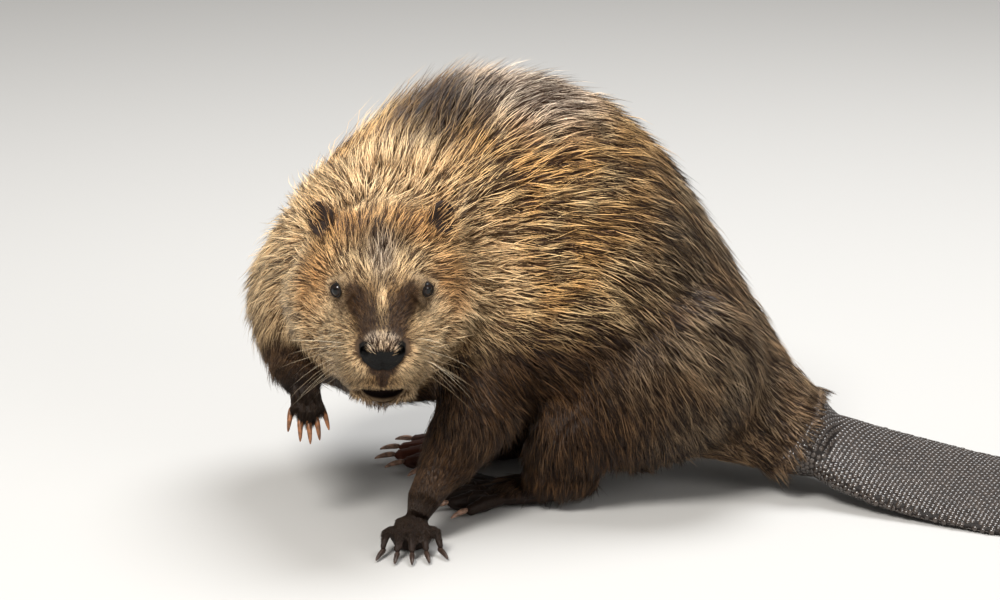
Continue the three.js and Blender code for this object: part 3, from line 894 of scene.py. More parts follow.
class Ground:
    """The skin's triangles as arrays, to take root places from."""

    def __init__(self, mesh):
        mesh.calc_loop_triangles()
        self.mesh = mesh
        self.tri = column(mesh.loop_triangles, "vertices", 3, np.int32)
        self.loops = column(mesh.loop_triangles, "loops", 3, np.int32)
        self.co, self.no = points_of(mesh), normals_of(mesh)
        a, b, c = (self.co[self.tri[:, k]] for k in range(3))
        self.facing = np.cross(b - a, c - a)
        self.area = norms(self.facing) / 2
        self.centre = (a + b + c) / 3
        self.uv = column(mesh.uv_layers["OFBake"].data, "uv", 2).astype(float)
        self.tree = BVHTree.FromPolygons(self.co.tolist(), self.tri.tolist())

    def scatter(self, density, rng):
        """Roots at a density per square metre on each triangle: places, normals, unwrap places."""
        wanted = density * self.area
        total = int(round(wanted.sum()))
        edge = np.cumsum(wanted)
        steps = (np.arange(total) + rng.random(total)) / total * edge[-1]
        pick = np.searchsorted(edge, steps).clip(0, len(wanted) - 1)
        away, aside = np.sqrt(rng.random(total)), rng.random(total)
        share = np.stack((1 - away, away * (1 - aside), away * aside), 1)[:, :, None]
        where = (self.co[self.tri[pick]] * share).sum(1)
        normal = unit((self.no[self.tri[pick]] * share).sum(1))
        return where, normal, (self.uv[self.loops[pick]] * share).sum(1)

    def uv_of(self, picks):
        """The middle of each picked triangle on the unwrap."""
        return self.uv[self.loops[picks]].mean(1)

    def mean(self, name):
        """One of the skin's marks on each triangle."""
        return column(self.mesh.attributes[name].data, "value", 1)[self.tri, 0].mean(1)


def furred(ground):
    """Share of full coat on each triangle, 0 where the skin is bare."""
    h = on_head(ground.centre)
    share = fade(ground.mean("tail"), 0.3, 0.8)
    foot = ramp(ground.mean("foot"), 0.3, 0.8)
    # The raised hand has hair down to the fingers, and the other feet on their tops.
    paw = norms(ground.centre - place((-86, -96, 126)))
    tops = np.where(paw < 0.06, fade(paw, 0.030, 0.044), ramp(ground.centre[:, 2], 0.015, 0.024))
    share *= 1 - foot * (1 - tops)
    bristly = 0.45 * ramp(h[:, 2], -3, 4) * (h[:, 0] > -30) * fade(np.abs(h[:, 1]), 8, 12)
    share *= 1 - ramp(ground.mean("nose"), 0.45, 0.85) * (1 - bristly)
    share *= fade(ground.mean("mouth"), 0.05, 0.3)
    nostril = norms((one_side(h) - (-4, 16.5, 1)) / (13, 4.8, 7.2))
    share *= ramp(nostril, 0.85, 1.1)
    share *= fade(ground.mean("lid"), 0.25, 0.55)
    share *= 1 - 0.8 * ramp(ground.mean("ear"), 0.3, 0.8)
    return share


def kept_out(points, tree, least):
    """Points moved out of the skin until they are at least that far above it."""
    moved = points.copy()
    for i, p in enumerate(points.tolist()):
        hit, normal, _, _ = tree.find_nearest(p, 0.03)
        if hit is not None:
            short = least[i] - (Vector(p) - hit).dot(normal)
            if short > 0:
                moved[i] += np.array(normal) * short
    return moved


def in_the_way(points):
    """Where a point stands in front of an eye's opening, the open mouth or the outer part of an ear."""
    h = on_head(points)
    # The upper lip's hair hangs a little way over the opening.
    hidden = (mouth_form(h)[0] > 0.4) & (mouth_form(h + (0, 0, 1.5))[0] > 0.4) & (h[:, 0] > -30)
    ear = np.hypot((np.abs(h[:, 1]) - 60) / 12, (h[:, 2] - 73) / 19)
    hidden |= (ear < 1) & (h[:, 0] > -124) & (h[:, 0] < -80)
    for side in (1, -1):
        offset = h - eye_axes(side)[0]
        hidden |= (slit(offset, side, FREE_OF_HAIR) < 1) & (norms(offset) < 20)
    return hidden


# A tuft's thickness against its width, and the side of its patch on the unwrap.
THICK, PATCH = 0.42, 0.003
# In metres: from which length hair counts as long, how far below the skin a tuft begins,
# the lowest place of a hair over the floor, and how far the tips may rise over the solids.
LONG_HAIR, ROOT_DEPTH, OFF_FLOOR, TIPS_ABOVE = 0.019, 0.0006, 0.0002, 0.019


def curls(roots):
    """How far the hair wanders to its left or right from its lie, in radians."""
    return 0.20 * waves(roots, 0.07, 5) + 0.12 * waves(roots, 0.028, 6)


def sweep(root, up, lie, length, lift, sway, share):
    """Where hairs are at a share of their length. They bend down to less than half their lift."""
    lie = unit(lie - (lie * up).sum(1, keepdims=True) * up)
    lie = unit(lie + np.cross(up, lie) * sway[:, None])
    angle = (lift * (1 - 0.55 * share))[:, None]
    return root + length[:, None] * share * (lie * np.cos(angle) + up * np.sin(angle))


def make_locks(ground, density, rng):
    """The locks that tufts gather in: each one's root, normal, tip, steepness and tone."""
    root, up, _ = ground.scatter(density, rng)
    lie, length, lift, _ = coat_at(root)
    sway = curls(root) + rng.normal(0, 0.13, len(root))
    length = length * rng.uniform(0.85, 1.25, len(root))
    steep = ramp(lift, 0.75, 1.15)
    length = length * (1 + steep * rng.normal(0, 0.28, len(root)))
    lift = lift * rng.uniform(0.7, 1.3, len(root))
    tip = sweep(root, up, lie, length, lift, sway, 1.0)
    return root, up, tip, steep, rng.random(len(root))


def nearest_of(many, points):
    """The number of the nearest of many places to each point."""
    tree = KDTree(len(many))
    for number, where in enumerate(many):
        tree.insert(where, number)
    tree.balance()
    return np.array([tree.find(where)[1] for where in points])


def spines(hair, tip_move, stations, tree, rng):
    """The tufts' points at each station, kept out of the skin and the floor.

    Hair that hangs over an eye, the mouth or an ear is shortened.
    """
    root, up, lie, length, lift, sway = hair
    bow = rng.normal(0, 0.05, len(root))
    spine = []
    for share in stations:
        at = sweep(root - up * ROOT_DEPTH, up, lie, length, lift, sway, share) + tip_move * share**1.5
        at = at + np.cross(up, unit(lie)) * (length * bow * math.sin(share * 5.2))[:, None]
        if share > 0:
            at = kept_out(at, tree, 0.0003 + 0.05 * share * length * np.sin(lift))
            at[:, 2] = np.clip(at[:, 2], OFF_FLOOR, CAD_BOX[1][2] + TIPS_ABOVE)
        spine.append(at)
    for shorter in (0.6, 0.6, 0.5):
        outer, tip = spine[-2:]
        clear = ~(in_the_way(tip) | in_the_way(outer) | in_the_way((tip + outer) / 2))
        spine = [np.where(clear[:, None], at, spine[0] + shorter * (at - spine[0])) for at in spine]
    return spine


def grow_tufts(ground, density, rng, clump_size, draw):
    """Tufts from roots, each with its tip drawn to the tip of its lock, as sets for coat_mesh."""
    settings = bpy.context.scene.beaver_coat
    root, up, uv = ground.scatter(density, rng)
    count = len(root)
    lie, length, lift, _ = coat_at(root)
    lock_root, lock_up, lock_tip, steep, lock_tone = make_locks(ground, density / clump_size, rng)
    mine = nearest_of(lock_root, root)
    # Round the eyes the hair is shorter and lies flatter.
    calm = 1 - 0.5 * fade(norms(one_side(on_head(root)) - EYE_AT), 13, 27)
    length, lift = length * calm, lift * calm

    length = length * rng.uniform(0.75, 1.2, count) * settings.length
    lift = lift * rng.uniform(0.55, 1.2, count)
    sway = curls(root) + rng.normal(0, 0.10, count)
    pull = (draw + 0.18 * steep[mine]) * rng.uniform(0.7, 1.15, count)
    same_side = (up * lock_up[mine]).sum(1) > 0.3
    pull = np.where(same_side, pull, 0) * (2 * calm - 1)
    tone = np.clip(0.5 + 1.4 * (0.35 * lock_tone[mine] + 0.65 * rng.random(count) - 0.5), 0, 1)
    lift = lift * (0.85 + 0.3 * tone)
    # A few guard hairs follow no lock and stand out of the outline.
    loose = rng.random(count) < 0.09
    lift = np.where(loose, lift * 1.5 + 0.06, lift)
    pull = np.where(loose, pull * 0.2, pull)
    length = np.where(loose, length * 1.12, length)
    own_tip = sweep(root, up, lie, length, lift, sway, 1.0)
    tip_move = (lock_tip[mine] - own_tip) * pull[:, None]
    # No tip is moved further than a share of its tuft's length.
    tip_move *= np.minimum(1, 0.45 * length / np.maximum(norms(tip_move), 1e-9))[:, None]
    # Long light tufts bend at two stations and the others at one, each with its share of the width.
    long_light = (length > 0.022) & (tone > 0.80)
    sets = []
    for chosen, stations, sizes in (
        (long_light, (0.0, 0.3, 0.68, 1.0), (1.0, 0.78)),
        (~long_light, (0.0, 0.42, 1.0), (1.0,)),
    ):
        index = np.flatnonzero(chosen)
        if not len(index):
            continue
        hair = [values[index] for values in (root, up, lie, length, lift, sway)]
        spine = spines(hair, tip_move[index], stations, ground.tree, rng)
        # Tufts that are still in the way when shortened are left out.
        clear = ~in_the_way(spine[-1])
        index, spine = index[clear], [at[clear] for at in spine]
        # The light tufts are the thin ones that lie on top.
        width = settings.width * (0.25 * MM + length[index] * 0.0125)
        width = width * rng.uniform(0.7, 1.3, len(index)) * (1.3 - 0.65 * tone[index])
        tufts = tuft_arrays(spine, up[index], width, sizes, stations)
        sets.append((*tufts, uv[index], tone[index], root[index]))
    return sets


def tuft_arrays(spine, normal, width, sizes, stations):
    """Closed three-sided spindles along their spines.

    It gives the corners as (tuft, corner, xyz), one tuft's triangles, and each corner's share
    along and across.
    """
    # A point at the root, three corners at each station between, and a point at the tip.
    corners, along, across = [spine[0]], [0.0], [0.5]
    for k, scale in enumerate(sizes, 1):
        forward = unit(spine[k + 1] - spine[k - 1])
        side = unit(np.cross(forward, normal))
        up = np.cross(side, forward)
        half = (width * scale / 2)[:, None]
        for sideways, upward, share in ((-1.0, 0.0, 0.0), (1.0, 0.0, 1.0), (0.0, 2 * THICK, 0.5)):
            corners.append(spine[k] + side * half * sideways + up * half * upward)
            along.append(stations[k])
            across.append(share)
    corners = np.stack((*corners, spine[-1]), 1)
    along.append(1.0)
    across.append(0.5)
    tris = [(0, 1 + k, 1 + (k + 1) % 3) for k in range(3)]
    for first in range(1, 3 * len(sizes) - 2, 3):
        for k in range(3):
            a, b = first + k, first + (k + 1) % 3
            tris += [(a, a + 3, b + 3), (a, b + 3, b)]
    last, tip = 3 * len(sizes) - 2, 3 * len(sizes) + 1
    tris += [(last + k, tip, last + (k + 1) % 3) for k in range(3)]
    tris = np.array(tris)
    a, b, c = (corners[:, tris[:, k]] - corners[:, :1] for k in range(3))
    if (a * np.cross(b, c)).sum() < 0:
        tris = tris[:, ::-1]
    return corners, tris, np.array(along), np.array(across)


def coat_mesh(name, parts):
    """One mesh from sets of tufts, with each corner's share along, tone and place on OFBake."""
    co, tri, along, tone, uv = [], [], [], [], []
    start = 0
    for corners, tris, share, across, root_uv, root_tone in parts:
        count, size = corners.shape[:2]
        co.append(corners.reshape(-1, 3))
        tri.append((tris[None] + (np.arange(count) * size)[:, None, None]).reshape(-1, 3) + start)
        start += count * size
        along.append(np.tile(share, count))
        tone.append(np.repeat(root_tone, size))
        patch = np.stack((across - 0.5, share - 0.5), 1) * PATCH
        uv.append((root_uv[:, None] + patch[None]).reshape(-1, 2))
    co, tri, along, tone, uv = (np.concatenate(x) for x in (co, tri, along, tone, uv))
    mesh = bpy.data.meshes.new(name)
    mesh.vertices.add(len(co))
    mesh.vertices.foreach_set("co", co.astype(np.float32).ravel())
    mesh.loops.add(len(tri) * 3)
    mesh.loops.foreach_set("vertex_index", tri.astype(np.int32).ravel())
    mesh.polygons.add(len(tri))
    mesh.polygons.foreach_set("loop_start", np.arange(0, len(tri) * 3, 3, dtype=np.int32))
    mesh.polygons.foreach_set("use_smooth", np.ones(len(tri), bool))
    mesh.update(calc_edges=True)
    layer = mesh.uv_layers.new(name="OFBake")
    layer.data.foreach_set("uv", uv[tri.ravel()].astype(np.float32).ravel())
    mark(mesh, "along", along)
    mark(mesh, "tone", tone)
    return mesh


def coat_regions(where):
    """The name of the coat piece that each root belongs to."""
    p, h = where / MM - PRINT, on_head(where)
    face_side = (h[:, 0] > -74) & (norms(h - (-30, 0, -5)) < 100)
    left = p[:, 0] > -225
    tests = [
        ("coat_face", face_side & (h[:, 1] >= 0)),
        ("coat_face_right", face_side),
        ("coat_head", (h[:, 0] > -150) & (norms(h - (-90, 0, 0)) < 112)),
        ("coat_legs_left", (p[:, 2] < 62) & (p[:, 0] > -215)),
        ("coat_legs_right", p[:, 2] < 62),
    ]
    stretches = (("shoulder", -60, 50), ("ribs", 50, 135), ("loin", 135, 225), ("rump", 225, 1e9))
    for name, low, high in stretches:
        here = (p[:, 1] >= low) & (p[:, 1] < high)
        tests += [(f"coat_{name}_left", here & left), (f"coat_{name}_right", here & ~left)]
    region = np.full(len(where), "coat_breast", dtype=object)
    for name, test in reversed(tests):
        region[test] = name
    return region


def coat_finish():
    finish = Finish("coat")
    colours = bpy.context.scene.beaver_colours
    pale, rufous, dark, dark_tips, silver_and_sheen, streak = markings(finish)
    along, tone = finish.attribute("along"), finish.attribute("tone")
    tip = finish.blend(streak, colours.tip, colours.warm_tip)
    tip = finish.blend(pale, tip, colours.face_tip)
    tip = finish.blend(rufous * 0.8, tip, colours.rufous)
    tip = finish.blend(dark_tips * 0.95, tip, colours.dark_tip)
    # Silvery tips, which on the back and rump are painted sheen.
    tip = finish.blend(silver_and_sheen * 0.7, tip, colours.silver_and_sheen)
    middle = finish.blend(streak, colours.middle, colours.warm_middle)
    middle = finish.blend(pale, middle, colours.face)
    middle = finish.blend(rufous * 0.7, middle, colours.rufous_middle)
    middle = finish.blend(dark * 0.9, middle, colours.dark)
    root = finish.blend(pale, colours.root, colours.face_root)
    # Many tufts stay dark to the tip, which leaves gaps between the light ones.
    golden = finish.step(tone + pale * 0.30, 0.44, 0.82)
    outer = finish.step(along, 0.10, 0.60)
    colour = finish.blend(finish.step(along, 0.0, 0.40) * (0.30 + golden * 0.70), root, middle)
    colour = finish.blend(outer * golden, colour, tip)
    tint = 0.60 + tone * 0.84
    colour = finish.node("ShaderNodeVectorMath", {"operation": "SCALE"}, {0: colour, "Scale": tint})
    colour = finish.blend(spots(finish, "hands") * 0.75, colour, (0.014, 0.008, 0.005))
    rough = 0.44 - outer * 0.06 + (1 - tone) * 0.05
    return finish.surface(Base_Color=colour, Roughness=rough, Specular_IOR_Level=0.30)


# ---------------------------------------------------------------- settings


def stated(name, description, default, least, most):
    return {"name": name, "description": description, "default": default, "min": least, "max": most}


def metres(*row):
    return FloatProperty(subtype="DISTANCE", unit="LENGTH", **stated(*row))


def factor(*row):
    return FloatProperty(subtype="FACTOR", **stated(*row))


def amount(*row):
    return IntProperty(**stated(*row))


def colour_of(*row):
    return FloatVectorProperty(subtype="COLOR", **stated(*row, 0.0, 1.0))


class BeaverSkinSettings(bpy.types.PropertyGroup):
    grain: metres("Grain", "Size of the faces that the skin is first made of", 0.0022, 0.001, 0.01)
    kept: factor("Kept", "Share of the skin's faces kept under the long coat", 0.31, 0.1, 1.0)


class BeaverCoatSettings(bpy.types.PropertyGroup):
    length: factor("Length", "Length of the hair against its usual length", 1.0, 0.3, 1.5)
    width: factor("Width", "Width of the tufts against their usual width", 1.0, 0.3, 2.5)
    body_tufts: amount("Body tufts", "How many long tufts the body has", 142000, 1000, 180000)
    head_tufts: amount("Head and leg tufts", "How many short tufts head and legs have", 70000, 1000, 160000)
    whiskers: amount("Whiskers", "Whiskers on each side of the muzzle", 15, 1, 60)
    scale: metres("Scale", "Spacing of the tail's scales", 0.0050, 0.002, 0.012)


class BeaverColourSettings(bpy.types.PropertyGroup):
    root: colour_of("Root", "Hair at the root", (0.022, 0.011, 0.006))
    middle: colour_of("Middle", "Middle of the hair on the body", (0.150, 0.066, 0.024))
    warm_middle: colour_of("Warm middle", "Middle of the hair in the warm streaks", (0.190, 0.078, 0.025))
    tip: colour_of("Tip", "Light tips on the body", (0.90, 0.64, 0.33))
    warm_tip: colour_of("Warm tip", "Golden tips on the body", (0.82, 0.49, 0.19))
    face_root: colour_of("Face root", "Hair of cheeks and muzzle at the root", (0.070, 0.038, 0.018))
    face: colour_of("Face", "Hair of cheeks and muzzle", (0.50, 0.285, 0.12))
    face_tip: colour_of("Face tip", "Cream tips of cheeks and muzzle", (0.96, 0.72, 0.43))
    rufous: colour_of("Rufous", "Orange hair by the ears", (0.68, 0.37, 0.14))
    rufous_middle: colour_of("Rufous middle", "Middle of the orange hair", (0.32, 0.145, 0.05))
    # Silvery tips, which on the back and rump are painted sheen.
    silver_and_sheen: colour_of("Silver", "Silvery tips on the back", (0.74, 0.67, 0.60))
    # The dark colour also stands for painted shade low on the body, under the belly and low on the flank.
    dark: colour_of("Dark", "Dark hair of rump, nape, belly and legs", (0.022, 0.009, 0.0035))
    dark_tip: colour_of("Dark tip", "Tips of the dark hair", (0.064, 0.028, 0.0115))
    claw: colour_of("Claw", "Horn of the claws", (0.30, 0.12, 0.045))
    floor: colour_of("Floor", "Floor of the stage", (0.50, 0.49, 0.475))


# ---------------------------------------------------------------- operators

# The most triangles that one piece and the whole coat may have.
MOST_IN_A_PIECE, MOST_IN_THE_COAT = 200000, 1500000


class MakeSkin(bpy.types.Operator):
    """Make the whole skin under the coat, with lids, nostrils and the parted mouth"""

    bl_idname = "beaver.skin"
    bl_label = "Skin"

    def execute(self, context):
        piece = new_piece("skin", build_skin(), skin_finish(), FLESH)
        context.view_layer.objects.active = piece
        piece.select_set(True)
        bpy.ops.object.mode_set(mode="EDIT")
        bpy.ops.mesh.select_all(action="SELECT")
        bpy.ops.uv.smart_project(angle_limit=math.radians(66), island_margin=0.002)
        bpy.ops.object.mode_set(mode="OBJECT")
        piece.select_set(False)
        piece.data.uv_layers[0].name = "OFBake"
        piece.data.calc_loop_triangles()
        if len(piece.data.loop_triangles) >= MOST_IN_A_PIECE:
            raise RuntimeError("the skin has too many triangles")
        return {"FINISHED"}


class MakeEyes(bpy.types.Operator):
    """Make the two glossy dark eyeballs"""

    bl_idname = "beaver.eyes"
    bl_label = "Eyes"

    def execute(self, context):
        for name, side in zip(EYES, (1, -1)):
            centre, out, _ = eye_axes(side)
            ball = bmesh.new()
            bmesh.ops.create_uvsphere(ball, u_segments=48, v_segments=32, radius=EYE_RADIUS * MM)
            turn = Vector(HEAD_AXES @ out).to_track_quat("Z", "Y").to_matrix().to_4x4()
            moved = Matrix.Translation(Vector(face(centre))) @ turn
            bmesh.ops.transform(ball, matrix=moved, verts=ball.verts)
            finish, mesh = Finish(name), mesh_from_bmesh(ball, name)
            pupil, iris = (
                finish.near(face(centre + out * EYE_RADIUS), (radius,) * 3, soft)
                for radius, soft in ((3.1, 0.12), (5.4, 0.10))
            )
            rays = finish.noise(0.0006, 3.0)
            brown = finish.blend(rays, (0.006, 0.003, 0.002), (0.016, 0.007, 0.004))
            colour = finish.blend(iris, (0.006, 0.005, 0.005), brown)
            colour = finish.blend(pupil, colour, (0.002, 0.002, 0.002))
            finish.surface(Base_Color=colour, Roughness=0.05, Specular_IOR_Level=0.35)
            new_piece(name.replace("eye", "eyeball"), mesh, finish.material, (name,))
        return {"FINISHED"}


def grown_claw(co, longer, stouter):
    """A claw's points with its tip kept, its root grown into the finger and its sides grown out."""
    offset = co - co.mean(0)
    axis = np.linalg.svd(offset, full_matrices=False)[2][0]
    # The axis is turned to the root, which is the thicker end.
    thick = norms(offset - (offset @ axis)[:, None] * axis)
    axis = axis * np.sign((thick * (offset @ axis)).sum())
    along = offset @ axis
    off = offset - np.outer(along, axis)
    return co + np.outer((along - along.min()) * longer, axis) + off * stouter


class MakeClaws(bpy.types.Operator):
    """Make the horn claws of the four feet"""

    bl_idname = "beaver.claws"
    bl_label = "Claws"

    def execute(self, context):
        dark, brown, pale = (0.055, 0.030, 0.020), context.scene.beaver_colours.claw, (0.42, 0.24, 0.16)
        for foot, horn, longer, stouter in zip(
            CLAWED, (dark, brown, pale, pale), (0.30, 0.30, 0.12, 0.12), (0.30, 0.30, 0.1, 0.1)
        ):
            finish = Finish(foot)
            stain, fine = finish.noise(0.004, 3.0), finish.noise(0.0009, 2.0)
            colour = finish.blend(finish.step(stain, 0.3, 0.7), horn, tuple(0.35 * c for c in horn))
            relief = finish.bump(fine, 0.25, 0.0003)
            finish.surface(Base_Color=colour, Roughness=0.34 + fine * 0.15, Normal=relief)
            nodes = [name for name in sorted(NODES) if name.startswith(foot)]
            bm = bmesh.new()
            for name in nodes:
                start = len(bm.verts)
                bm.from_mesh(NODES[name].data)
                bm.verts.ensure_lookup_table()
                claw = bm.verts[start:]
                for v, co in zip(claw, grown_claw(np.array([v.co for v in claw]), longer, stouter)):
                    v.co = co
            bmesh.ops.remove_doubles(bm, verts=bm.verts, dist=1e-5)
            bmesh.ops.recalc_face_normals(bm, faces=bm.faces)
            mesh = mesh_from_bmesh(bm, foot)
            piece = new_piece(foot.replace("claw", "claws"), mesh, finish.material, nodes)
            smooth = piece.modifiers.new("round", "SUBSURF")
            smooth.levels = smooth.render_levels = 2
        return {"FINISHED"}


class MakeCoat(bpy.types.Operator):
    """Make the coat: long locks on the body, short tufts on head, ears, legs and feet"""

    bl_idname = "beaver.coat"
    bl_label = "Coat"

    def execute(self, context):
        settings = context.scene.beaver_coat
        ground = Ground(bpy.data.objects["skin"].data)
        share = furred(ground)
        length = coat_at(ground.centre)[1]
        at_head = fade(norms(on_head(ground.centre) - (-70, 0, 0)), 105, 135)
        # Skin that faces down has fewer tufts, except on the head.
        faces_down = ramp(-unit(ground.facing)[:, 2], 0.3, 0.8)
        share = share * (1 - 0.45 * faces_down * (1 - at_head))
        finish = coat_finish()
        rng = np.random.default_rng(11)
        long = length > LONG_HAIR
        sets = []
        # Which faces, how many tufts, how many tufts to a lock, and how far their tips are drawn together.
        for chosen, wanted, clump, draw in (
            (long, settings.body_tufts, 7.0, 0.80),
            (~long, settings.head_tufts, 6.0, 0.74),
        ):
            # Fewer of the tufts that are wide and long, as each covers more.
            need = np.where(chosen, share / (0.0003 + length * 0.02) / length, 0)
            need *= np.where(chosen & ~long, 0.3 + 0.7 * at_head, 1.0)
            need *= wanted / (need * ground.area).sum()
            sets += grow_tufts(ground, need, rng, clump, draw)
        made = {}
        for corners, tris, along, across, uv, tone, where in sets:
            region = coat_regions(where)
            for name in sorted(set(region)):
                here = region == name
                made.setdefault(name, []).append((corners[here], tris, along, across, uv[here], tone[here]))
        total = 0
        for name, parts in sorted(made.items()):
            mesh = coat_mesh(name, parts)
            triangles = len(mesh.polygons)
            total += triangles
            if triangles >= MOST_IN_A_PIECE:
                raise RuntimeError(f"{name} has too many triangles: {triangles}")
            new_piece(name, mesh, finish)
        if total > MOST_IN_THE_COAT:
            raise RuntimeError(f"the coat has too many triangles: {total}")
        return {"FINISHED"}


class MakeWhiskers(bpy.types.Operator):
    """Make the long pale whiskers on both sides of the muzzle"""

    bl_idname = "beaver.whiskers"
    bl_label = "Whiskers"

    def execute(self, context):
        ground = Ground(bpy.data.objects["skin"].data)
        rng = np.random.default_rng(5)
        count = context.scene.beaver_coat.whiskers
        roots, ways, picks = [], [], []
        for side in (1, -1):
            for number in range(count):
                high = (number + 0.5) / count
                near = face((rng.uniform(-30, -12), side * rng.uniform(26, 34), -28 + 30 * high))
                hit, _, index, _ = ground.tree.find_nearest(Vector(near))
                roots.append(hit)
                picks.append(index)
                way = (rng.uniform(-0.45, 0.15), side, -0.75 + 0.8 * high + rng.normal(0, 0.1))
                ways.append(face(way) - face((0, 0, 0)))
        roots, ways = np.array(roots), unit(ways)
        size = rng.uniform(0.026, 0.068, len(roots))
        stations = (0.0, 0.2, 0.45, 0.72, 1.0)
        droop = np.array((-0.16, 0, -0.34)) * rng.uniform(0.2, 1.5, len(roots))[:, None]
        spine = [roots + size[:, None] * (u * ways + u * u * droop) for u in stations]
        # Each root begins a millimetre inside the skin.
        spine[0] = spine[0] - ways * MM
        up = np.cross(ways, np.cross((0, 0, 1.0), ways))
        width = np.full(len(roots), 0.42 * MM)
        tufts = tuft_arrays(spine, unit(up), width, (1.0, 0.85, 0.55), stations)
        mesh = coat_mesh("whiskers", [(*tufts, ground.uv_of(picks), rng.random(len(roots)))])
        finish = Finish("whisker")
        tone = finish.attribute("tone")
        colour = finish.blend(tone, (0.45, 0.33, 0.20), (0.86, 0.74, 0.54))
        finish.surface(Base_Color=colour, Roughness=0.35 + tone * 0.1)
        new_piece("whiskers", mesh, finish.material)
        return {"FINISHED"}


def plates(at, normals, along, size):
    """A six-sided plate at each place, given as tuft_arrays gives tufts.

    Its lower ring lies in the skin, and its upper ring is smaller and higher at the hind edge.
    """
    back = unit(along - (normals @ along)[:, None] * normals)
    side = np.cross(normals, back)
    turns = [(math.cos(angle), math.sin(angle)) for angle in np.radians(np.arange(30, 390, 60))]
    rings = [at + (back * c + side * s) * size * 0.57 - normals * 0.0003 for c, s in turns]
    for c, s in turns:
        rings.append(at + (back * c + side * s) * size * 0.50 + normals * (0.00022 + 0.00012 * c))
    tris = [(0, k + 1, k) for k in range(1, 5)] + [(6, 6 + k, 7 + k) for k in range(1, 5)]
    for k in range(6):
        after = (k + 1) % 6
        tris += [(k, after, 6 + after), (k, 6 + after, 6 + k)]
    share = [(0.5 + 0.5 * r * c, 0.5 + 0.5 * r * s) for r in (1.0, 0.7) for c, s in turns]
    return np.stack(rings, 1), np.array(tris), *np.array(share).T


class MakeScales(bpy.types.Operator):
    """Make the horny scales of the tail, row after row over both its faces"""

    bl_idname = "beaver.scales"
    bl_label = "Tail scales"

    def execute(self, context):
        ground = Ground(bpy.data.objects["skin"].data)
        size = context.scene.beaver_coat.scale
        corners = points_of(NODES["tail_paddle"].data)
        middle = corners.mean(0)
        along, across, through = np.linalg.svd(corners - middle, full_matrices=False)[2]
        along, through = along * np.sign(along[1]), through * np.sign(through[2])
        across = np.cross(through, along)
        tail = np.flatnonzero(ground.mean("tail") > 0.5)
        tree = BVHTree.FromPolygons(ground.co.tolist(), ground.tri[tail].tolist())
        rng = np.random.default_rng(7)
        at, normals, picks = [], [], []
        # Each face of the tail is covered from its own side: above, below, and the two
        # thick edges near the root.
        for out, wide in ((through, across), (-through, across), (across, through), (-across, through)):
            for row in range(-66, 56):
                for place_in_row in range(-20, 21):
                    u = row * size * 0.84 + rng.normal(0, 0.04) * size
                    v = (place_in_row + 0.5 * (row % 2)) * size + rng.normal(0, 0.05) * size
                    start = middle + along * u + wide * v + out * 0.16
                    hit, normal, index, _ = tree.ray_cast(Vector(start), Vector(-out), 0.3)
                    if hit is None:
                        continue
                    flat, steep = abs(normal.dot(Vector(through))), abs(normal.dot(Vector(across)))
                    if (flat >= steep) == (wide is across) and normal.dot(Vector(out)) > 0.2:
                        at.append(hit)
                        normals.append(normal)
                        picks.append(tail[index])
        scales = plates(np.array(at), np.array(normals), along, size)
        mesh = coat_mesh("tail_scales", [(*scales, ground.uv_of(picks), rng.random(len(at)))])
        finish = Finish("tail_scale")
        tone, grime = finish.attribute("tone"), finish.noise(0.02, 4.0)
        colour = finish.blend(tone * 0.5 + grime * 0.5, (0.012, 0.008, 0.006), (0.058, 0.041, 0.031))
        rough, relief = 0.17 + grime * 0.16, finish.bump(finish.noise(0.0009, 3.0), 0.3, 0.0002)
        finish.surface(Base_Color=colour, Roughness=rough, Specular_IOR_Level=0.8, Normal=relief)
        new_piece("tail_scales", mesh, finish.material)
        return {"FINISHED"}


# Half the floor's side in metres, and the even light of the surroundings: colour and strength.
FLOOR_SIZE, SKY = 9.0, ((1.0, 0.98, 0.95, 1), 0.36)
LAMPS = (
    # Name, place and aim in metres, diameter in metres, power in watts and tint.
    ("key", (2.7, -1.5, 3.4), (0, 0, 0.15), 1.6, 215, (1.0, 0.98, 0.94)),
    ("fill", (3.2, 2.6, 1.8), (0, 0, 0.15), 2.4, 60, (1.0, 0.98, 0.95)),
    ("top", (-0.9, 0.6, 3.2), (0, 0, 0.25), 2.2, 115, (0.96, 0.98, 1.0)),
)
# The camera's place in the maker's millimetres, its tilt from straight down in degrees,
# and its focal length in millimetres.
CAMERA_AT, CAMERA_TILT, FOCAL_LENGTH = (2856.9, 82.1, 942.4), 76, 120.96


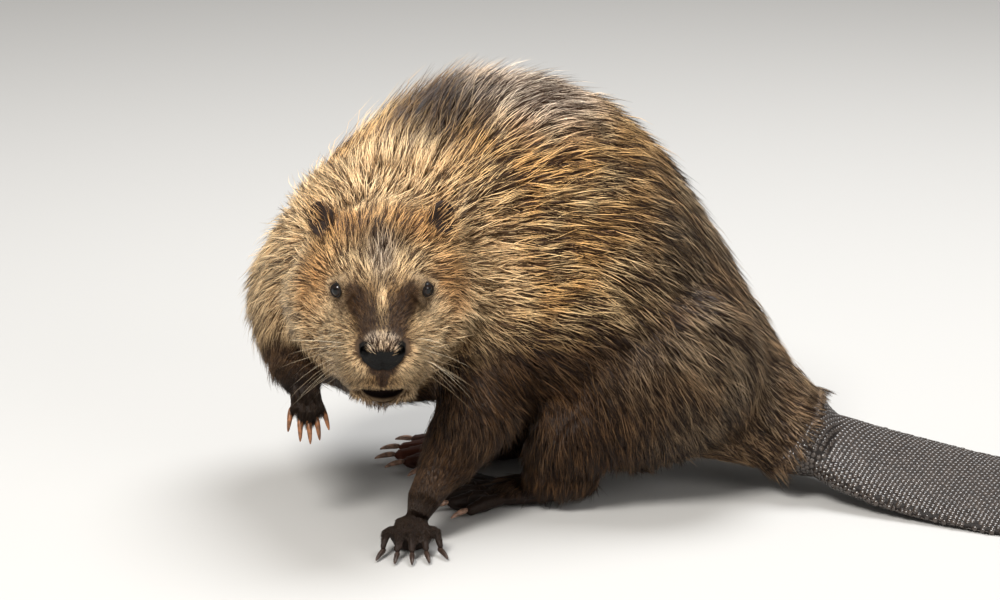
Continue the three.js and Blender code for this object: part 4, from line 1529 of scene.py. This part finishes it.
class MakeStage(bpy.types.Operator):
    """Make the plain floor, the soft lights and the camera"""

    bl_idname = "beaver.stage"
    bl_label = "Stage"

    def execute(self, context):
        scene = context.scene
        bm = bmesh.new()
        bmesh.ops.create_grid(bm, x_segments=2, y_segments=2, size=FLOOR_SIZE)
        finish = Finish("floor")
        finish.surface(Base_Color=scene.beaver_colours.floor, Roughness=0.9)
        floor = bpy.data.objects.new("floor", mesh_from_bmesh(bm, "floor"))
        floor.data.materials.append(finish.material)
        scene.collection.objects.link(floor)

        world = bpy.data.worlds.new("studio")
        world.use_nodes = True
        sky = world.node_tree.nodes["Background"].inputs
        sky["Color"].default_value, sky["Strength"].default_value = SKY
        scene.world = world
        for name, place_at, aim, size, power, tint in LAMPS:
            lamp = bpy.data.lights.new(name, "AREA")
            lamp.shape, lamp.size, lamp.energy, lamp.color = "DISK", size, power, tint
            light = bpy.data.objects.new(name, lamp)
            light.location = place_at
            light.rotation_euler = (Vector(aim) - Vector(place_at)).to_track_quat("-Z", "Y").to_euler()
            scene.collection.objects.link(light)

        lens = bpy.data.cameras.new("camera")
        lens.lens, lens.sensor_width, lens.clip_end = FOCAL_LENGTH, 36.0, 60.0
        camera = bpy.data.objects.new("camera", lens)
        camera.location = place(CAMERA_AT)
        camera.rotation_euler = (math.radians(CAMERA_TILT), 0, math.radians(90))
        scene.collection.objects.link(camera)
        scene.camera = camera
        scene.view_settings.view_transform = "Standard"
        return {"FINISHED"}


class BeaverPanel(bpy.types.Panel):
    bl_idname = "VIEW3D_PT_beaver"
    bl_label = "Beaver"
    bl_space_type = "VIEW_3D"
    bl_region_type = "UI"
    bl_category = "Beaver"

    def draw(self, context):
        for operator in OPERATORS:
            self.layout.operator(operator.bl_idname)
        for group in GROUPS:
            settings = getattr(context.scene, group)
            for name in settings.bl_rna.properties.keys():
                if name not in ("name", "rna_type"):
                    self.layout.prop(settings, name)


OPERATORS = (MakeSkin, MakeEyes, MakeClaws, MakeCoat, MakeWhiskers, MakeScales, MakeStage)
GROUPS = {
    "beaver_skin": BeaverSkinSettings,
    "beaver_coat": BeaverCoatSettings,
    "beaver_colours": BeaverColourSettings,
}


def register():
    for cls in (*GROUPS.values(), *OPERATORS, BeaverPanel):
        bpy.utils.register_class(cls)
    for name, group in GROUPS.items():
        setattr(bpy.types.Scene, name, PointerProperty(type=group))


def unregister():
    for name in GROUPS:
        delattr(bpy.types.Scene, name)
    for cls in reversed((*GROUPS.values(), *OPERATORS, BeaverPanel)):
        bpy.utils.unregister_class(cls)


def main():
    register()
    for operator in OPERATORS:
        group, name = operator.bl_idname.split(".")
        getattr(getattr(bpy.ops, group), name)()


if __name__ == "__main__":
    main()
